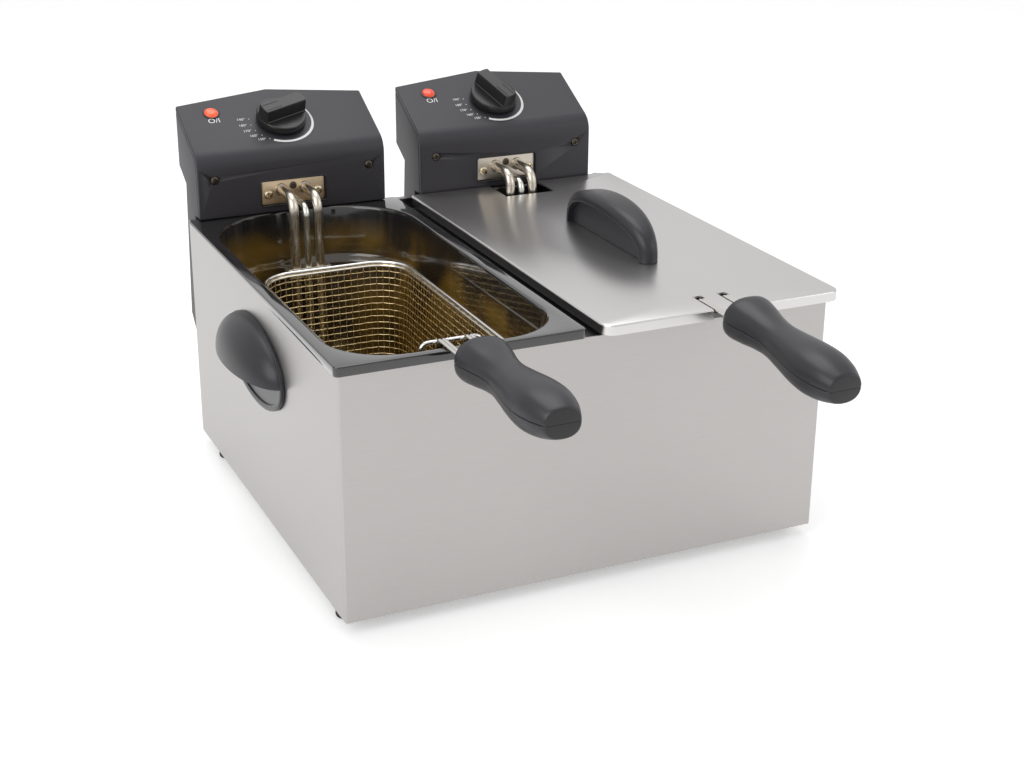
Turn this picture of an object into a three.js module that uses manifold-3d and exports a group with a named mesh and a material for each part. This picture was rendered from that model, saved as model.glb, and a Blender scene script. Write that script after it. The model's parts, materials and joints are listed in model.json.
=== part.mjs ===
// Double deep fryer: a steel housing that carries two enamelled bowls side by side, each with its
// own lift-off control head, heating element and frying basket. One lid lies on the right bowl.
//
// Millimetres, +Z up. The front faces -Y and the floor is z = 0. The parts are drawn with y = 0 on
// the housing's front face and x = 0 on its middle plane, and the whole fryer is then shifted along
// Y so that the origin lies under the middle of its bounding box.

import * as THREE from 'three';
import { mergeVertices } from 'three/addons/utils/BufferGeometryUtils.js';
import Module from 'manifold-3d';

const wasm = await Module();
wasm.setup();

// ---------------------------------------------------------------- driving dimensions

const restGap = 0.3;          // between two pieces that touch
const runGap = 0.8;           // around a piece that lifts out or turns

const housing = { width: 368, depth: 358, top: 193.5, wall: 1, notchDepth: 6,
  baseThickness: 1.2, hem: 14 };
const rearShelf = { endGap: 6, extra: 2, tabHalf: 60, tabDepth: 4 };
const divider = { play: 0.5, sheet: 1.5, floorDrop: 2, rearGap: 14, crestStart: 30 };
const foot = { height: 10, radius: 8, inset: 10.5, frontInset: 28, rearInset: 40, chamfer: 1.5,
  pinRadius: 2.5, pinLength: 3 };
const sideHandle = { y: 181, drop: 58, halfLength: 66, halfHeight: 32, plateOut: 3,
  rimWidth: 5, edge: 1, dishFloor: 1.2, hoodOut: 25, hoodWall: 2.6 };

const rim = { overhang: 3, lip: 7, rise: 1.5, centreGap: 18, sideBand: 10, frontBand: 7.5,
  frontOverhang: 3, rearBand: 7, corner: 4 };
const bowl = { wall: 1.2, edge: 1.5, cornerFront: 45, cornerRear: 60, leastCorner: 8, floorGap: 22,
  draft: 11, ledgeDepth: 42, ledgeWidth: 4, ledgeRound: 2, floorFillet: 16 };

const head = { width: 158, overlap: 13, skin: 3.5, shellWall: 2.5, slope: 28,
  bendHeight: 50, bendRadius: 15, depth: 57, apex: 10.6, boxDrop: 105.5, boxBottomDepth: 21,
  boxDepth: 34, boxChamfer: 13, neckHeight: 21, neckDepth: 38, stepHeight: 38 };
const headScrew = { x: 65, belowBend: 18.5, headRadius: 3.4, headDepth: 1.6, shankRadius: 1.5, length: 16 };
const boss = { half: 5.5, depth: 20 };
const rail = { width: 40, thickness: 4, drop: 14, length: 70 };

const plate = { width: 54, height: 20, z: 16, thickness: 2, recess: 1.5 };
const element = { radius: 4, spacing: 20, z: 18, reach: 29.5, bend: 13, floorGap: 12,
  sideInset: 26, frontInset: 55, rearInset: 60, innerHalf: 16, returnGap: 30, inside: 7 };
const sensor = { radius: 2.6, z: 10, length: 120, bend: 9 };
const clamp = { drop: 43, height: 8, thickness: 1.4, margin: 4 };
const plateScrew = { x: 21, z: -1.5, radius: 3.2, rise: 1.3, rivetRadius: 2.8, rivetRise: 0.9,
  rivetZ: 4.5 };

const knob = { x: 1.5, along: 37, baseRadius: 20.3, baseHeight: 9, bevel: 2.5, barWidth: 11,
  barHeight: 10, seat: 0.8 };
const shaft = { radius: 3, rise: 12 };
const thermostat = { radius: 17, depth: 16, gap: 0.3 };
const lamp = { x: -52.5, along: 53, radius: 5.5, rise: 1.2, flange: 1.5, depth: 9 };
const terminal = { width: 46, depth: 14, height: 16, z: -58 };
const microSwitch = { width: 20, depth: 10, height: 14, x: 50, z: -20 };
const gland = { radius: 6, flange: 9, bore: 3.6, out: 9, x: 45, z: -88 };

const basket = { sideGap: 20.5, frontGap: 23, rearGap: 77, rimDrop: 27, wall: 2, draft: 6,
  corner: 28, bottomRound: 6, rimWire: 2 };
const wire = { radius: 1.35, pair: 2.9, spacing: 19.5, drop: 40, into: 26, crossRadius: 1.6,
  behindRim: 11, bend: 6 };
const bracket = { half: 22, radius: 1.5, below: 2, toe: 4, tieRise: 10 };
const grip = { length: 119, collarHalf: 19, collarHeight: 15.5, neckHalf: 13.5, neckHeight: 12,
  bellyHalf: 20, bellyHeight: 15.5, tipHalf: 15, tipHeight: 10, parting: 0.3 };

const lid = { overhang: 5, frontOverhang: 6, offset: -2.5, rearGap: 1, sheet: 1.5,
  lip: 7.5, corner: 9, rearCorner: 3, slotWidth: 7, notchHalf: 22, notchGap: 4 };
const lidHandle = { front: 97, length: 133, height: 35, width: 28, rib: 9, web: 7, crown: 7.8 };

// One entry per fryer: the head's place across its bowl, the angle at which the knob stands, how far
// the grip begins in front of the bowl's rim, and how far its tip rises, in degrees.
const sides = [
  { name: 'left', sign: -1, headOffset: -1.5, knobAngle: -162, gripGap: 24, gripTilt: 0.5,
    lidOn: false },
  { name: 'right', sign: 1, headOffset: -7.5, knobAngle: -69, gripGap: 24, gripTilt: -5,
    lidOn: true },
];

// ---------------------------------------------------------------- sizes that follow from them

const rimWidth = (housing.width + 2 * rim.overhang - rim.centreGap) / 2;
const pitch = rimWidth + rim.centreGap;
const rimTop = housing.top + rim.rise;
const headFront = housing.depth - head.overlap;
const headBottom = rimTop + restGap;
const opening = { half: rimWidth / 2 - rim.sideBand, y0: rim.frontBand - rim.frontOverhang,
  y1: headFront };
const rimBox = { half: rimWidth / 2, y0: -rim.frontOverhang, y1: headFront + rim.rearBand };
const baseTop = foot.height + housing.baseThickness;
const bowlFloor = baseTop + bowl.floorGap;
const elementHeight = bowlFloor + element.floorGap;
const basketTop = rimTop - basket.rimDrop;
const basketBottom = elementHeight + element.radius + restGap;
const slopeRise = Math.tan(THREE.MathUtils.degToRad(head.slope));
const boxFront = housing.depth + runGap + 0.4;
const railBack = housing.depth + restGap + rail.thickness;
const boxInside = railBack + runGap + head.shellWall + restGap;
const wireHeight = rimTop + restGap + wire.radius;
const frontReach = Math.max(...sides.map(gripReach));
const rearReach = headFront + head.depth + head.apex;

function gripStart(side) {
  return rim.frontOverhang + side.gripGap;
}

function gripReach(side) {
  const tilt = THREE.MathUtils.degToRad(Math.abs(side.gripTilt));
  return gripStart(side) + grip.length * Math.cos(tilt) + grip.tipHeight * Math.sin(tilt);
}

// ---------------------------------------------------------------- materials

const finish = (color, roughness, metalness) =>
  new THREE.MeshStandardMaterial({ color, roughness, metalness });
const brushedSteel = finish(0xa9a5a2, 0.35, 1);
const paintedSteel = finish(0x1c1c1f, 0.45, 0.2);
const enamel = finish(0x0c0b0b, 0.12, 0);
const casing = finish(0x3c3a40, 0.5, 0);
const softBlack = finish(0x37363c, 0.45, 0);
const knobBlack = finish(0x19191b, 0.4, 0);
const rubber = finish(0x151515, 0.8, 0);
const nickel = finish(0xb5ab95, 0.3, 1);
const chrome = finish(0xd8d4cc, 0.15, 1);
const gilt = finish(0xc79c45, 0.3, 1);
const screwSteel = finish(0x5a5148, 0.4, 1);
const redLens = finish(0xe8381c, 0.25, 0);
const ceramic = finish(0xe5e0d2, 0.6, 0);

// ---------------------------------------------------------------- solid helpers

function solid(geometry) {
  const bare = geometry.index ? geometry.clone() : geometry;
  bare.deleteAttribute('normal');
  bare.deleteAttribute('uv');
  const merged = mergeVertices(bare, 1e-5);
  return new wasm.Manifold(new wasm.Mesh({
    numProp: 3,
    vertProperties: merged.attributes.position.array,
    triVerts: new Uint32Array(merged.index.array),
  }));
}

function geometryOf(body) {
  const data = body.getMesh();
  const geometry = new THREE.BufferGeometry();
  geometry.setAttribute('position', new THREE.BufferAttribute(data.vertProperties, 3));
  geometry.setIndex(new THREE.BufferAttribute(data.triVerts, 1));
  geometry.computeVertexNormals();
  return geometry;
}

function join(...bodies) {
  return bodies.reduce((whole, body) => whole.add(body));
}

function block(x0, x1, y0, y1, z0, z1) {
  const geometry = new THREE.BoxGeometry(x1 - x0, y1 - y0, z1 - z0);
  geometry.translate((x0 + x1) / 2, (y0 + y1) / 2, (z0 + z1) / 2);
  return solid(geometry);
}

// A round bar that starts at `from` and runs `length` along `axis`.
function bar(radius, length, from, axis, facets = 12) {
  const geometry = new THREE.CylinderGeometry(radius, radius, length, facets);
  geometry.translate(0, length / 2, 0);
  geometry.applyQuaternion(new THREE.Quaternion().setFromUnitVectors(
    new THREE.Vector3(0, 1, 0), axis.clone().normalize()));
  geometry.translate(from.x, from.y, from.z);
  return solid(geometry);
}

const alongX = new THREE.Vector3(1, 0, 0);
const alongY = new THREE.Vector3(0, 1, 0);
const alongZ = new THREE.Vector3(0, 0, 1);

// An outline of [y, z] points, pushed along X from x0 to x1.
function prismX(outline, x0, x1) {
  const shape = new THREE.Shape(outline.map(([y, z]) => new THREE.Vector2(y, z)));
  const geometry = new THREE.ExtrudeGeometry(shape, { depth: x1 - x0, bevelEnabled: false });
  geometry.applyMatrix4(new THREE.Matrix4().makeBasis(alongY, alongZ, alongX));
  geometry.translate(x0, 0, 0);
  return solid(geometry);
}

// An outline of [x, y] points, pushed along Z from z0 to z1.
function prismZ(outline, z0, z1) {
  const shape = new THREE.Shape(outline.map(([x, y]) => new THREE.Vector2(x, y)));
  const geometry = new THREE.ExtrudeGeometry(shape, { depth: z1 - z0, bevelEnabled: false });
  geometry.translate(0, 0, z0);
  return solid(geometry);
}

// A wire or tube whose centre line runs through `points`, with its corners rounded.
function tube(points, bend, radius, facets, step) {
  const corners = points.map((p) => new THREE.Vector3(...p));
  const path = new THREE.CurvePath();
  let last = corners[0];
  for (let i = 1; i < corners.length - 1; i += 1) {
    const back = corners[i - 1].clone().sub(corners[i]);
    const ahead = corners[i + 1].clone().sub(corners[i]);
    const cut = Math.min(bend, back.length() / 2.05, ahead.length() / 2.05);
    const enter = corners[i].clone().addScaledVector(back.normalize(), cut);
    const leave = corners[i].clone().addScaledVector(ahead.normalize(), cut);
    path.add(new THREE.LineCurve3(last, enter));
    path.add(new THREE.QuadraticBezierCurve3(enter, corners[i], leave));
    last = leave;
  }
  path.add(new THREE.LineCurve3(last, corners[corners.length - 1]));
  const section = new THREE.Shape();
  section.absarc(0, 0, radius, 0, Math.PI * 2);
  const geometry = new THREE.ExtrudeGeometry(section, {
    steps: Math.max(2, Math.round(path.getLength() / step)),
    curveSegments: facets / 2,
    extrudePath: path,
  });
  return solid(geometry);
}

// A skin stretched over rings of equally many points, closed by a flat cap at each end, or joined
// end to end when it is a loop.
function skin(rings, loop = false) {
  const count = rings[0].length;
  const points = rings.flat();
  const faces = [];
  const spans = loop ? rings.length : rings.length - 1;
  for (let r = 0; r < spans; r += 1) {
    const a = r * count;
    const b = ((r + 1) % rings.length) * count;
    for (let i = 0; i < count; i += 1) {
      const j = (i + 1) % count;
      faces.push(a + i, a + j, b + j, a + i, b + j, b + i);
    }
  }
  if (!loop) {
    const middle = (ring) => ring.reduce((sum, p) => sum.add(p), new THREE.Vector3())
      .divideScalar(count);
    const first = points.push(middle(rings[0])) - 1;
    const last = points.push(middle(rings[rings.length - 1])) - 1;
    const base = (rings.length - 1) * count;
    for (let i = 0; i < count; i += 1) {
      const j = (i + 1) % count;
      faces.push(first, j, i, last, base + i, base + j);
    }
  }
  const geometry = new THREE.BufferGeometry().setFromPoints(points);
  geometry.setIndex(signedVolume(points, faces) < 0 ? faces.reverse() : faces);
  return solid(geometry);
}

function signedVolume(points, faces) {
  let total = 0;
  const cross = new THREE.Vector3();
  for (let i = 0; i < faces.length; i += 3) {
    cross.crossVectors(points[faces[i + 1]], points[faces[i + 2]]);
    total += points[faces[i]].dot(cross);
  }
  return total;
}

// A level ring: a rectangle with one radius on its front corners and another on its rear ones.
function roundedRing(half, y0, y1, z, front, rear, segments = 6) {
  const corners = [[half, y0, front, -90], [half, y1, rear, 0], [-half, y1, rear, 90],
    [-half, y0, front, 180]];
  return corners.flatMap(([x, y, radius, start]) => {
    const cx = x - Math.sign(x) * radius;
    const cy = y === y0 ? y + radius : y - radius;
    return Array.from({ length: segments + 1 }, (_, i) => {
      const angle = THREE.MathUtils.degToRad(start + 90 * i / segments);
      return new THREE.Vector3(cx + radius * Math.cos(angle), cy + radius * Math.sin(angle), z);
    });
  });
}

// An upright ring in a plane of constant y, a flattened circle about (0, z).
function ovalRing(halfWidth, halfHeight, y, z, power, count) {
  return Array.from({ length: count }, (_, i) => {
    const angle = 2 * Math.PI * i / count;
    const soften = (v) => Math.sign(v) * Math.abs(v) ** (2 / power);
    return new THREE.Vector3(halfWidth * soften(Math.cos(angle)), y,
      z + halfHeight * soften(Math.sin(angle)));
  });
}

// Moves each point of a closed outline inwards by `wall`, for an outline given anticlockwise.
function inset(outline, wall) {
  const normal = (p, q) => {
    const length = Math.hypot(q[0] - p[0], q[1] - p[1]);
    return [-(q[1] - p[1]) / length, (q[0] - p[0]) / length];
  };
  return outline.map((point, i) => {
    const before = outline[(i + outline.length - 1) % outline.length];
    const after = outline[(i + 1) % outline.length];
    const [ax, ay] = normal(before, point);
    const [bx, by] = normal(point, after);
    const scale = wall / (1 + ax * bx + ay * by);
    return [point[0] + (ax + bx) * scale, point[1] + (ay + by) * scale];
  });
}

function place(parent, name, body, material) {
  const mesh = new THREE.Mesh(body.isBufferGeometry ? body : geometryOf(body), material);
  mesh.name = name;
  parent.add(mesh);
  return mesh;
}

// ---------------------------------------------------------------- housing

const halfWidth = housing.width / 2;

// Front and both sides are one folded sheet, with a narrow flange turned in along its top and
// bottom. The front's top edge is lowered between the two bowls.
function housingWrap() {
  const { wall, depth, top, hem } = housing;
  const bottom = foot.height;
  const sideFlange = rim.sideBand - rim.overhang - bowl.wall - bowl.edge - runGap;
  const frontFlange = opening.y0 - bowl.wall - bowl.edge - runGap;
  const flanges = (z0, z1, side, front) => join(
    block(-halfWidth, -halfWidth + side, 0, depth, z0, z1),
    block(halfWidth - side, halfWidth, 0, depth, z0, z1),
    block(-halfWidth, halfWidth, 0, front, z0, z1));
  const sheet = join(
    block(-halfWidth, halfWidth, 0, wall, bottom, top),
    block(-halfWidth, -halfWidth + wall, 0, depth, bottom, top),
    block(halfWidth - wall, halfWidth, 0, depth, bottom, top),
    flanges(top - wall, top, sideFlange, frontFlange),
    flanges(bottom, bottom + wall, hem, hem));
  const trough = dividerHalf() + restGap;
  const pinHoles = footPlaces().map(([, x, y]) => bar(foot.pinRadius + restGap, 2 * wall,
    new THREE.Vector3(x, y, bottom - wall / 2), alongZ));
  return sheet.subtract(join(...pinHoles, block(-trough, trough, -1, frontFlange + 1,
    top - housing.notchDepth, top + 1)));
}

function dividerHalf() {
  return rim.centreGap / 2 + rim.sideBand - bowl.wall - bowl.edge - runGap - divider.play;
}

// The rear wall, inside the side sheets, with a shelf along its top for the bowls' rear rims.
function backPanel() {
  const { wall, depth, top } = housing;
  const edge = halfWidth - wall - restGap;
  const bottom = foot.height + wall + restGap;
  const shelf = rimBox.y1 - bowl.wall - opening.y1 - 2 * bowl.wall;
  return join(
    block(-edge, edge, depth - wall, depth, bottom, top - wall - restGap),
    block(-edge + rearShelf.endGap, edge - rearShelf.endGap, depth - shelf - wall - rearShelf.extra,
      depth, top - 2 * wall - restGap, top - wall - restGap),
    ...[-1, 1].map((sign) => block(sign * pitch / 2 - rearShelf.tabHalf,
      sign * pitch / 2 + rearShelf.tabHalf, depth - rearShelf.tabDepth, depth,
      top - 2 * wall - restGap, top)));
}

function basePlate() {
  const { wall, depth, baseThickness } = housing;
  const edge = halfWidth - wall - restGap;
  const z = foot.height + wall + restGap;
  const floor = block(-edge, edge, wall + restGap, depth - wall - restGap, z, z + baseThickness);
  const holes = footPlaces().map(([, x, y]) => bar(foot.pinRadius + restGap, 20,
    new THREE.Vector3(x, y, 0), alongZ));
  return holes.reduce((sheet, hole) => sheet.subtract(hole), floor);
}

// A channel between the bowls. Its two upright edges carry their inner rims.
function centreDivider() {
  const { wall, depth, top, notchDepth } = housing;
  const outer = dividerHalf();
  const y0 = wall + restGap;
  const y1 = depth - divider.rearGap;
  const floor = top - notchDepth - divider.floorDrop;
  const under = floor - divider.sheet;
  const strip = join(
    block(-outer, outer, y0, y1, under, floor),
    block(-outer, -outer + divider.sheet, y0, y1, under, top - wall - restGap),
    block(outer - divider.sheet, outer, y0, y1, under, top - wall - restGap));
  const ledge = rim.centreGap / 2 + bowl.wall + runGap;
  const crests = [-1, 1].map((sign) => block(Math.min(sign * ledge, sign * outer),
    Math.max(sign * ledge, sign * outer), opening.y0 + divider.crestStart, y1,
    top - 2 * wall, top));
  return join(strip, ...crests);
}

function footPlaces() {
  const x = halfWidth - foot.inset;
  const y0 = foot.frontInset;
  const y1 = housing.depth - foot.rearInset;
  return [['foot_front_left', -x, y0], ['foot_front_right', x, y0], ['foot_rear_left', -x, y1],
    ['foot_rear_right', x, y1]];
}

// A rubber foot: a low cone with a pin that snaps through the base plate.
function footBody() {
  const { radius, chamfer, height, pinRadius, pinLength } = foot;
  const profile = [[0, 0], [radius - chamfer, 0], [radius, chamfer], [radius, height - restGap],
    [pinRadius, height - restGap], [pinRadius, height + pinLength], [0, height + pinLength]];
  const geometry = new THREE.LatheGeometry(profile.map(([r, z]) => new THREE.Vector2(r, z)), 20);
  geometry.rotateX(Math.PI / 2);
  return solid(geometry);
}

// ---------------------------------------------------------------- side handles

const handleZ = housing.top - sideHandle.drop;

// One moulding: an oval dish on the panel, and a hood over its upper half that the fingers reach
// into from below. It is drawn for the right side, where out is +X.
function sideHandleBody() {
  const { y, halfLength, halfHeight, plateOut, rimWidth: band, edge, dishFloor, hoodOut,
    hoodWall } = sideHandle;
  const face = halfWidth + restGap;
  const oval = (margin, x) => ovalRing(halfLength - margin, halfHeight - margin, 0, handleZ, 2, 28)
    .map((p) => new THREE.Vector3(x, y + p.x, p.z));
  const front = face + plateOut;
  const dish = skin([oval(0, face), oval(0, front - edge), oval(edge, front)])
    .subtract(skin([oval(band, face + dishFloor), oval(band - edge, front + edge)]));
  const dome = (shrink) => {
    const rings = [];
    const steps = 6;
    for (let i = 0; i <= steps; i += 1) {
      const angle = Math.PI / 2 * i / steps;
      const out = (hoodOut - shrink) * Math.sin(angle);
      const size = Math.max(Math.cos(angle), 0.02);
      rings.push(oval(0, 0).map((p) => new THREE.Vector3(face + out,
        y + (p.y - y) * size * (halfLength - edge - shrink) / halfLength,
        handleZ + (p.z - handleZ) * size * (halfHeight - shrink) / halfHeight)));
    }
    rings.unshift(rings[0].map((p) => new THREE.Vector3(face, p.y, p.z)));
    return skin(rings.slice(1));
  };
  const above = 2 * halfHeight;
  const beside = 2 * halfLength;
  const upper = block(0, face + 2 * hoodOut, y - beside, y + beside, handleZ, handleZ + above);
  const behind = block(0, face + dishFloor, y - beside, y + beside, handleZ - above, handleZ + above);
  const hood = dome(0).intersect(upper).subtract(dome(hoodWall).subtract(behind));
  return join(dish, hood);
}

// ---------------------------------------------------------------- bowl

// The bowl is drawn as one skin: up its inside, over the flange, round the turned-down lip and down
// the outside. The lip is left off along the rear, where the control head sits.
function bowlBody() {
  const { wall, edge, cornerFront, cornerRear, leastCorner, draft, ledgeDepth, ledgeWidth, ledgeRound,
    floorFillet } = bowl;
  const wallRing = (shrink, z) => roundedRing(opening.half - shrink, opening.y0 + shrink,
    opening.y1 - shrink, z, Math.max(cornerFront - shrink, leastCorner),
    Math.max(cornerRear - shrink, leastCorner));
  const rimRing = (shrink, z) => roundedRing(rimBox.half - shrink, rimBox.y0 + shrink,
    rimBox.y1 - shrink, z, rim.corner - Math.min(shrink, 3), rim.corner - Math.min(shrink, 3));
  const ledge = rimTop - ledgeDepth;
  const inside = [
    [draft + floorFillet, bowlFloor], [draft + floorFillet / 3, bowlFloor + floorFillet / 4],
    [draft, bowlFloor + floorFillet], [ledgeWidth + ledgeRound, ledge - 2 * ledgeRound],
    [ledgeRound, ledge + ledgeRound / 2],
    [0, rimTop - edge],
  ];
  const lipBottom = rimTop - rim.lip;
  const rearLip = block(-rimBox.half - 1, rimBox.half + 1, opening.y1 + wall + runGap, rimBox.y1 + 1,
    lipBottom - 1, rimTop - wall);
  return skin([
    ...inside.map(([shrink, z]) => wallRing(shrink, z)),
    wallRing(-edge, rimTop),
    rimRing(wall, rimTop), rimRing(0, rimTop - wall), rimRing(0, lipBottom),
    rimRing(wall, lipBottom), rimRing(wall, rimTop - wall),
    wallRing(-edge - wall, rimTop - wall),
    ...inside.slice().reverse().map(([shrink, z], i) => wallRing(shrink - wall, z - (i ? wall : 0.9))),
  ]).subtract(rearLip);
}

// ---------------------------------------------------------------- control head

const half = head.width / 2;
const slopeY = (y) => headBottom + head.bendHeight + (y - headFront) * slopeRise;

// Outline of [x, y] points seen from above. The rear edge is a shallow V.
function headPlan() {
  const rear = headFront + head.depth;
  return [[-half, headFront - 5], [half, headFront - 5], [half, rear], [0, rear + head.apex],
    [-half, rear]];
}

// Points along the casing's front and top, seen from the side, from the front's bottom edge to
// the top's rear edge, lying `depth` inside the outer surface.
function frontAndTop(depth, bottom) {
  const angle = THREE.MathUtils.degToRad(head.slope);
  const radius = head.bendRadius;
  const y = headFront + radius;
  const z = slopeY(y) - radius / Math.cos(angle);
  const arc = Array.from({ length: 6 }, (_, i) => {
    const turn = Math.PI - (Math.PI / 2 - angle) * i / 5;
    return [y + (radius - depth) * Math.cos(turn), z + (radius - depth) * Math.sin(turn)];
  });
  const rear = headFront + head.depth + head.apex + 1;
  return [[headFront + depth, bottom], ...arc, [rear, slopeY(rear) - depth / Math.cos(angle)]];
}

// A slot for a turned or tilted piece on the sloping top: x and the distance up the slope.
function onPanel(x, along) {
  const group = new THREE.Group();
  const angle = THREE.MathUtils.degToRad(head.slope);
  group.rotation.x = angle;
  const y = headFront + along * Math.cos(angle);
  group.position.set(x, y, slopeY(y));
  group.updateMatrix();
  return group;
}

function panelBar(at, radius, z0, z1) {
  return bar(radius, z1 - z0, new THREE.Vector3(0, 0, z0), alongZ, 16)
    .transform(at.matrix.elements);
}

const knobPlace = onPanel(knob.x, knob.along);
const lampPlace = onPanel(lamp.x, lamp.along);
const headScrewZ = headBottom + head.bendHeight - headScrew.belowBend;
const plateZ = headBottom + plate.z;

// Front and top are one bent moulding. It carries the knob, the lamp and the element's plate.
function headCover() {
  const outer = frontAndTop(0, headBottom);
  const inner = frontAndTop(head.skin, headBottom).reverse();
  const cover = prismX([...outer, ...inner].reverse(), -half, half)
    .intersect(prismZ(headPlan(), 0, 500));
  const plateWindow = block(-plate.width / 2, plate.width / 2, headFront - 1,
    headFront + head.skin + 1, plateZ - plate.height / 2, plateZ + plate.height / 2);
  const screwHoles = [-1, 1].flatMap((sign) => {
    const at = (depth) => new THREE.Vector3(sign * headScrew.x, headFront - depth, headScrewZ);
    return [bar(headScrew.headRadius + restGap, headScrew.headDepth + 1 + 2 * restGap, at(1), alongY),
      bar(headScrew.shankRadius + restGap, 10, at(1), alongY)];
  });
  const cuts = join(plateWindow, panelBar(knobPlace, shaft.radius + runGap, -20, 20),
    panelBar(lampPlace, lamp.radius + restGap, -20, 20), ...screwHoles);
  return cover.subtract(cuts);
}

// The rest of the casing: two cheeks, the rear and the box that hangs down behind the housing.
// Its outline runs anticlockwise in the y-z plane.
function shellOutline() {
  const start = head.skin + restGap;
  const front = frontAndTop(start, headBottom).reverse();
  const boxFoot = headBottom - head.boxDrop;
  const rearTop = headFront + head.depth + head.apex;
  const topEnd = front.shift();
  return [
    [boxFront, headBottom], [boxFront, boxFoot],
    [boxFront + head.boxBottomDepth, boxFoot],
    [boxFront + head.boxDepth, boxFoot + head.boxChamfer],
    [headFront + head.neckDepth, headBottom + head.neckHeight],
    [rearTop, headBottom + head.stepHeight],
    [topEnd[0] - 1, topEnd[1] - slopeRise],
    ...front,
  ];
}

function headShell() {
  const { shellWall } = head;
  const outline = shellOutline();
  const plan = headPlan();
  const outer = prismX(outline, -half, half).intersect(prismZ(plan, 0, 500));
  const open = inset(outline, shellWall).map(([y, z], i) => (i >= 6
    ? [y - 2 * shellWall - 1, z + 2 * shellWall + 1] : [y, z]));
  const inner = prismX(open, -half + shellWall, half - shellWall)
    .intersect(prismZ(inset(plan, shellWall).map(([x, y], i) => (i < 2 ? [x, y - 20] : [x, y])),
      0, 500));
  const tub = outer.subtract(railSlot(0)).subtract(inner.subtract(railSlot(shellWall)));
  const bosses = [-1, 1].map((sign) => {
    const x = sign * headScrew.x;
    const end = sign * (half - shellWall / 2);
    const y0 = headFront + head.skin + restGap;
    return block(Math.min(x - boss.half, end), Math.max(x + boss.half, end), y0, y0 + boss.depth,
      headScrewZ - boss.half, headScrewZ + boss.half)
      .subtract(bar(headScrew.shankRadius + restGap, 2 * boss.depth,
        new THREE.Vector3(x, headFront, headScrewZ), alongY));
  });
  const hole = bar(gland.radius + restGap, 40, glandPlace(-20), alongY);
  return join(tub, ...bosses).subtract(hole);
}

// The groove down the front of the box that slides over the guide rail, or the same grown by a wall.
function railSlot(grow) {
  return block(-rail.width / 2 - runGap - grow, rail.width / 2 + runGap + grow, boxFront - 1,
    railBack + runGap + grow, headBottom - head.boxDrop - 1,
    housing.top - rail.drop + runGap + grow);
}

// ---------------------------------------------------------------- pieces inside the head

function glandPlace(depth) {
  const z = headBottom + gland.z;
  const lower = [boxFront + head.boxDepth, headBottom - head.boxDrop + head.boxChamfer];
  const upper = [headFront + head.neckDepth, headBottom + head.neckHeight];
  const y = lower[0] + (upper[0] - lower[0]) * (z - lower[1]) / (upper[1] - lower[1]);
  return new THREE.Vector3(gland.x, y + depth, z);
}

// The bush in the rear of the box where the mains cord leaves.
function cordGland() {
  const wall = head.shellWall + 1.2;
  return join(
    bar(gland.radius, wall + 2 + gland.out, glandPlace(-wall - 2), alongY),
    bar(gland.flange, 2, glandPlace(1.5), alongY),
  ).subtract(bar(gland.bore, 60, glandPlace(-30), alongY));
}

function screwBody() {
  const { headRadius, headDepth, shankRadius, length } = headScrew;
  return join(bar(headRadius, headDepth, new THREE.Vector3(0, 0.3, 0), alongY),
    bar(shankRadius, length, new THREE.Vector3(0, 0.3, 0), alongY, 10));
}

// The nickelled plate that holds the element's ends, with two screw heads and a rivet formed on it.
function elementPlate() {
  const y0 = headFront + plate.recess;
  const grow = (r, z, x, rise) => bar(r, rise + plate.thickness / 2,
    new THREE.Vector3(x, y0 - rise, plateZ + z), alongY, 14);
  const body = join(
    block(-plate.width / 2 + restGap, plate.width / 2 - restGap, y0, y0 + plate.thickness,
      plateZ - plate.height / 2 + restGap, plateZ + plate.height / 2 - restGap),
    ...[-1, 1].map((sign) => grow(plateScrew.radius, plateScrew.z, sign * plateScrew.x,
      plateScrew.rise)),
    grow(plateScrew.rivetRadius, plateScrew.rivetZ, 0, plateScrew.rivetRise));
  const holes = [-1, 1].map((sign) => bar(element.radius + restGap, 20,
    new THREE.Vector3(sign * element.spacing / 2, headFront - 5, headBottom + element.z), alongY));
  const sensorHole = bar(sensor.radius + restGap, 20,
    new THREE.Vector3(0, headFront - 5, headBottom + sensor.z), alongY);
  return body.subtract(join(...holes, sensorHole));
}

const tubeY = headFront - element.reach;

// One long rod: down from the left hole, round the floor of the bowl in a loop, up to the right.
function heatingElement() {
  const x = element.spacing / 2;
  const rear = opening.y1 - element.rearInset;
  const front = opening.y0 + element.frontInset;
  const low = elementHeight;
  const wide = opening.half - element.sideInset + Math.min(...sides.map((side) => side.headOffset));
  const high = headBottom + element.z;
  const leg = [[x, headFront + plate.recess + plate.thickness + element.inside, high],
    [x, tubeY, high], [x, tubeY, low], [x, rear, low], [wide, rear, low],
    [wide, front, low], [element.innerHalf, front, low]];
  const back = [element.innerHalf, rear - element.returnGap, low];
  const mirrored = (points) => points.map(([px, py, pz]) => [-px, py, pz]);
  return tube([...mirrored([...leg, back]), ...[...leg, back].reverse()], element.bend,
    element.radius, 8, 15);
}

function sensorTube() {
  const z = headBottom + sensor.z;
  return tube([[0, headFront + 10, z], [0, tubeY, z], [0, tubeY, z - sensor.length]], sensor.bend,
    sensor.radius, 6, 9);
}

// A flat strap across the three tubes.
function elementClamp() {
  const z = headBottom - clamp.drop;
  const reach = element.spacing / 2 + element.radius + clamp.margin;
  const depth = element.radius + restGap + clamp.thickness;
  const strap = block(-reach, reach, tubeY - depth, tubeY + depth, z - clamp.height / 2,
    z + clamp.height / 2);
  const bores = [-1, 1].map((sign) => bar(element.radius + restGap, 40,
    new THREE.Vector3(sign * element.spacing / 2, tubeY, z - 20), alongZ));
  return strap.subtract(join(...bores,
    bar(sensor.radius + restGap, 40, new THREE.Vector3(0, tubeY, z - 20), alongZ)));
}

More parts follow.
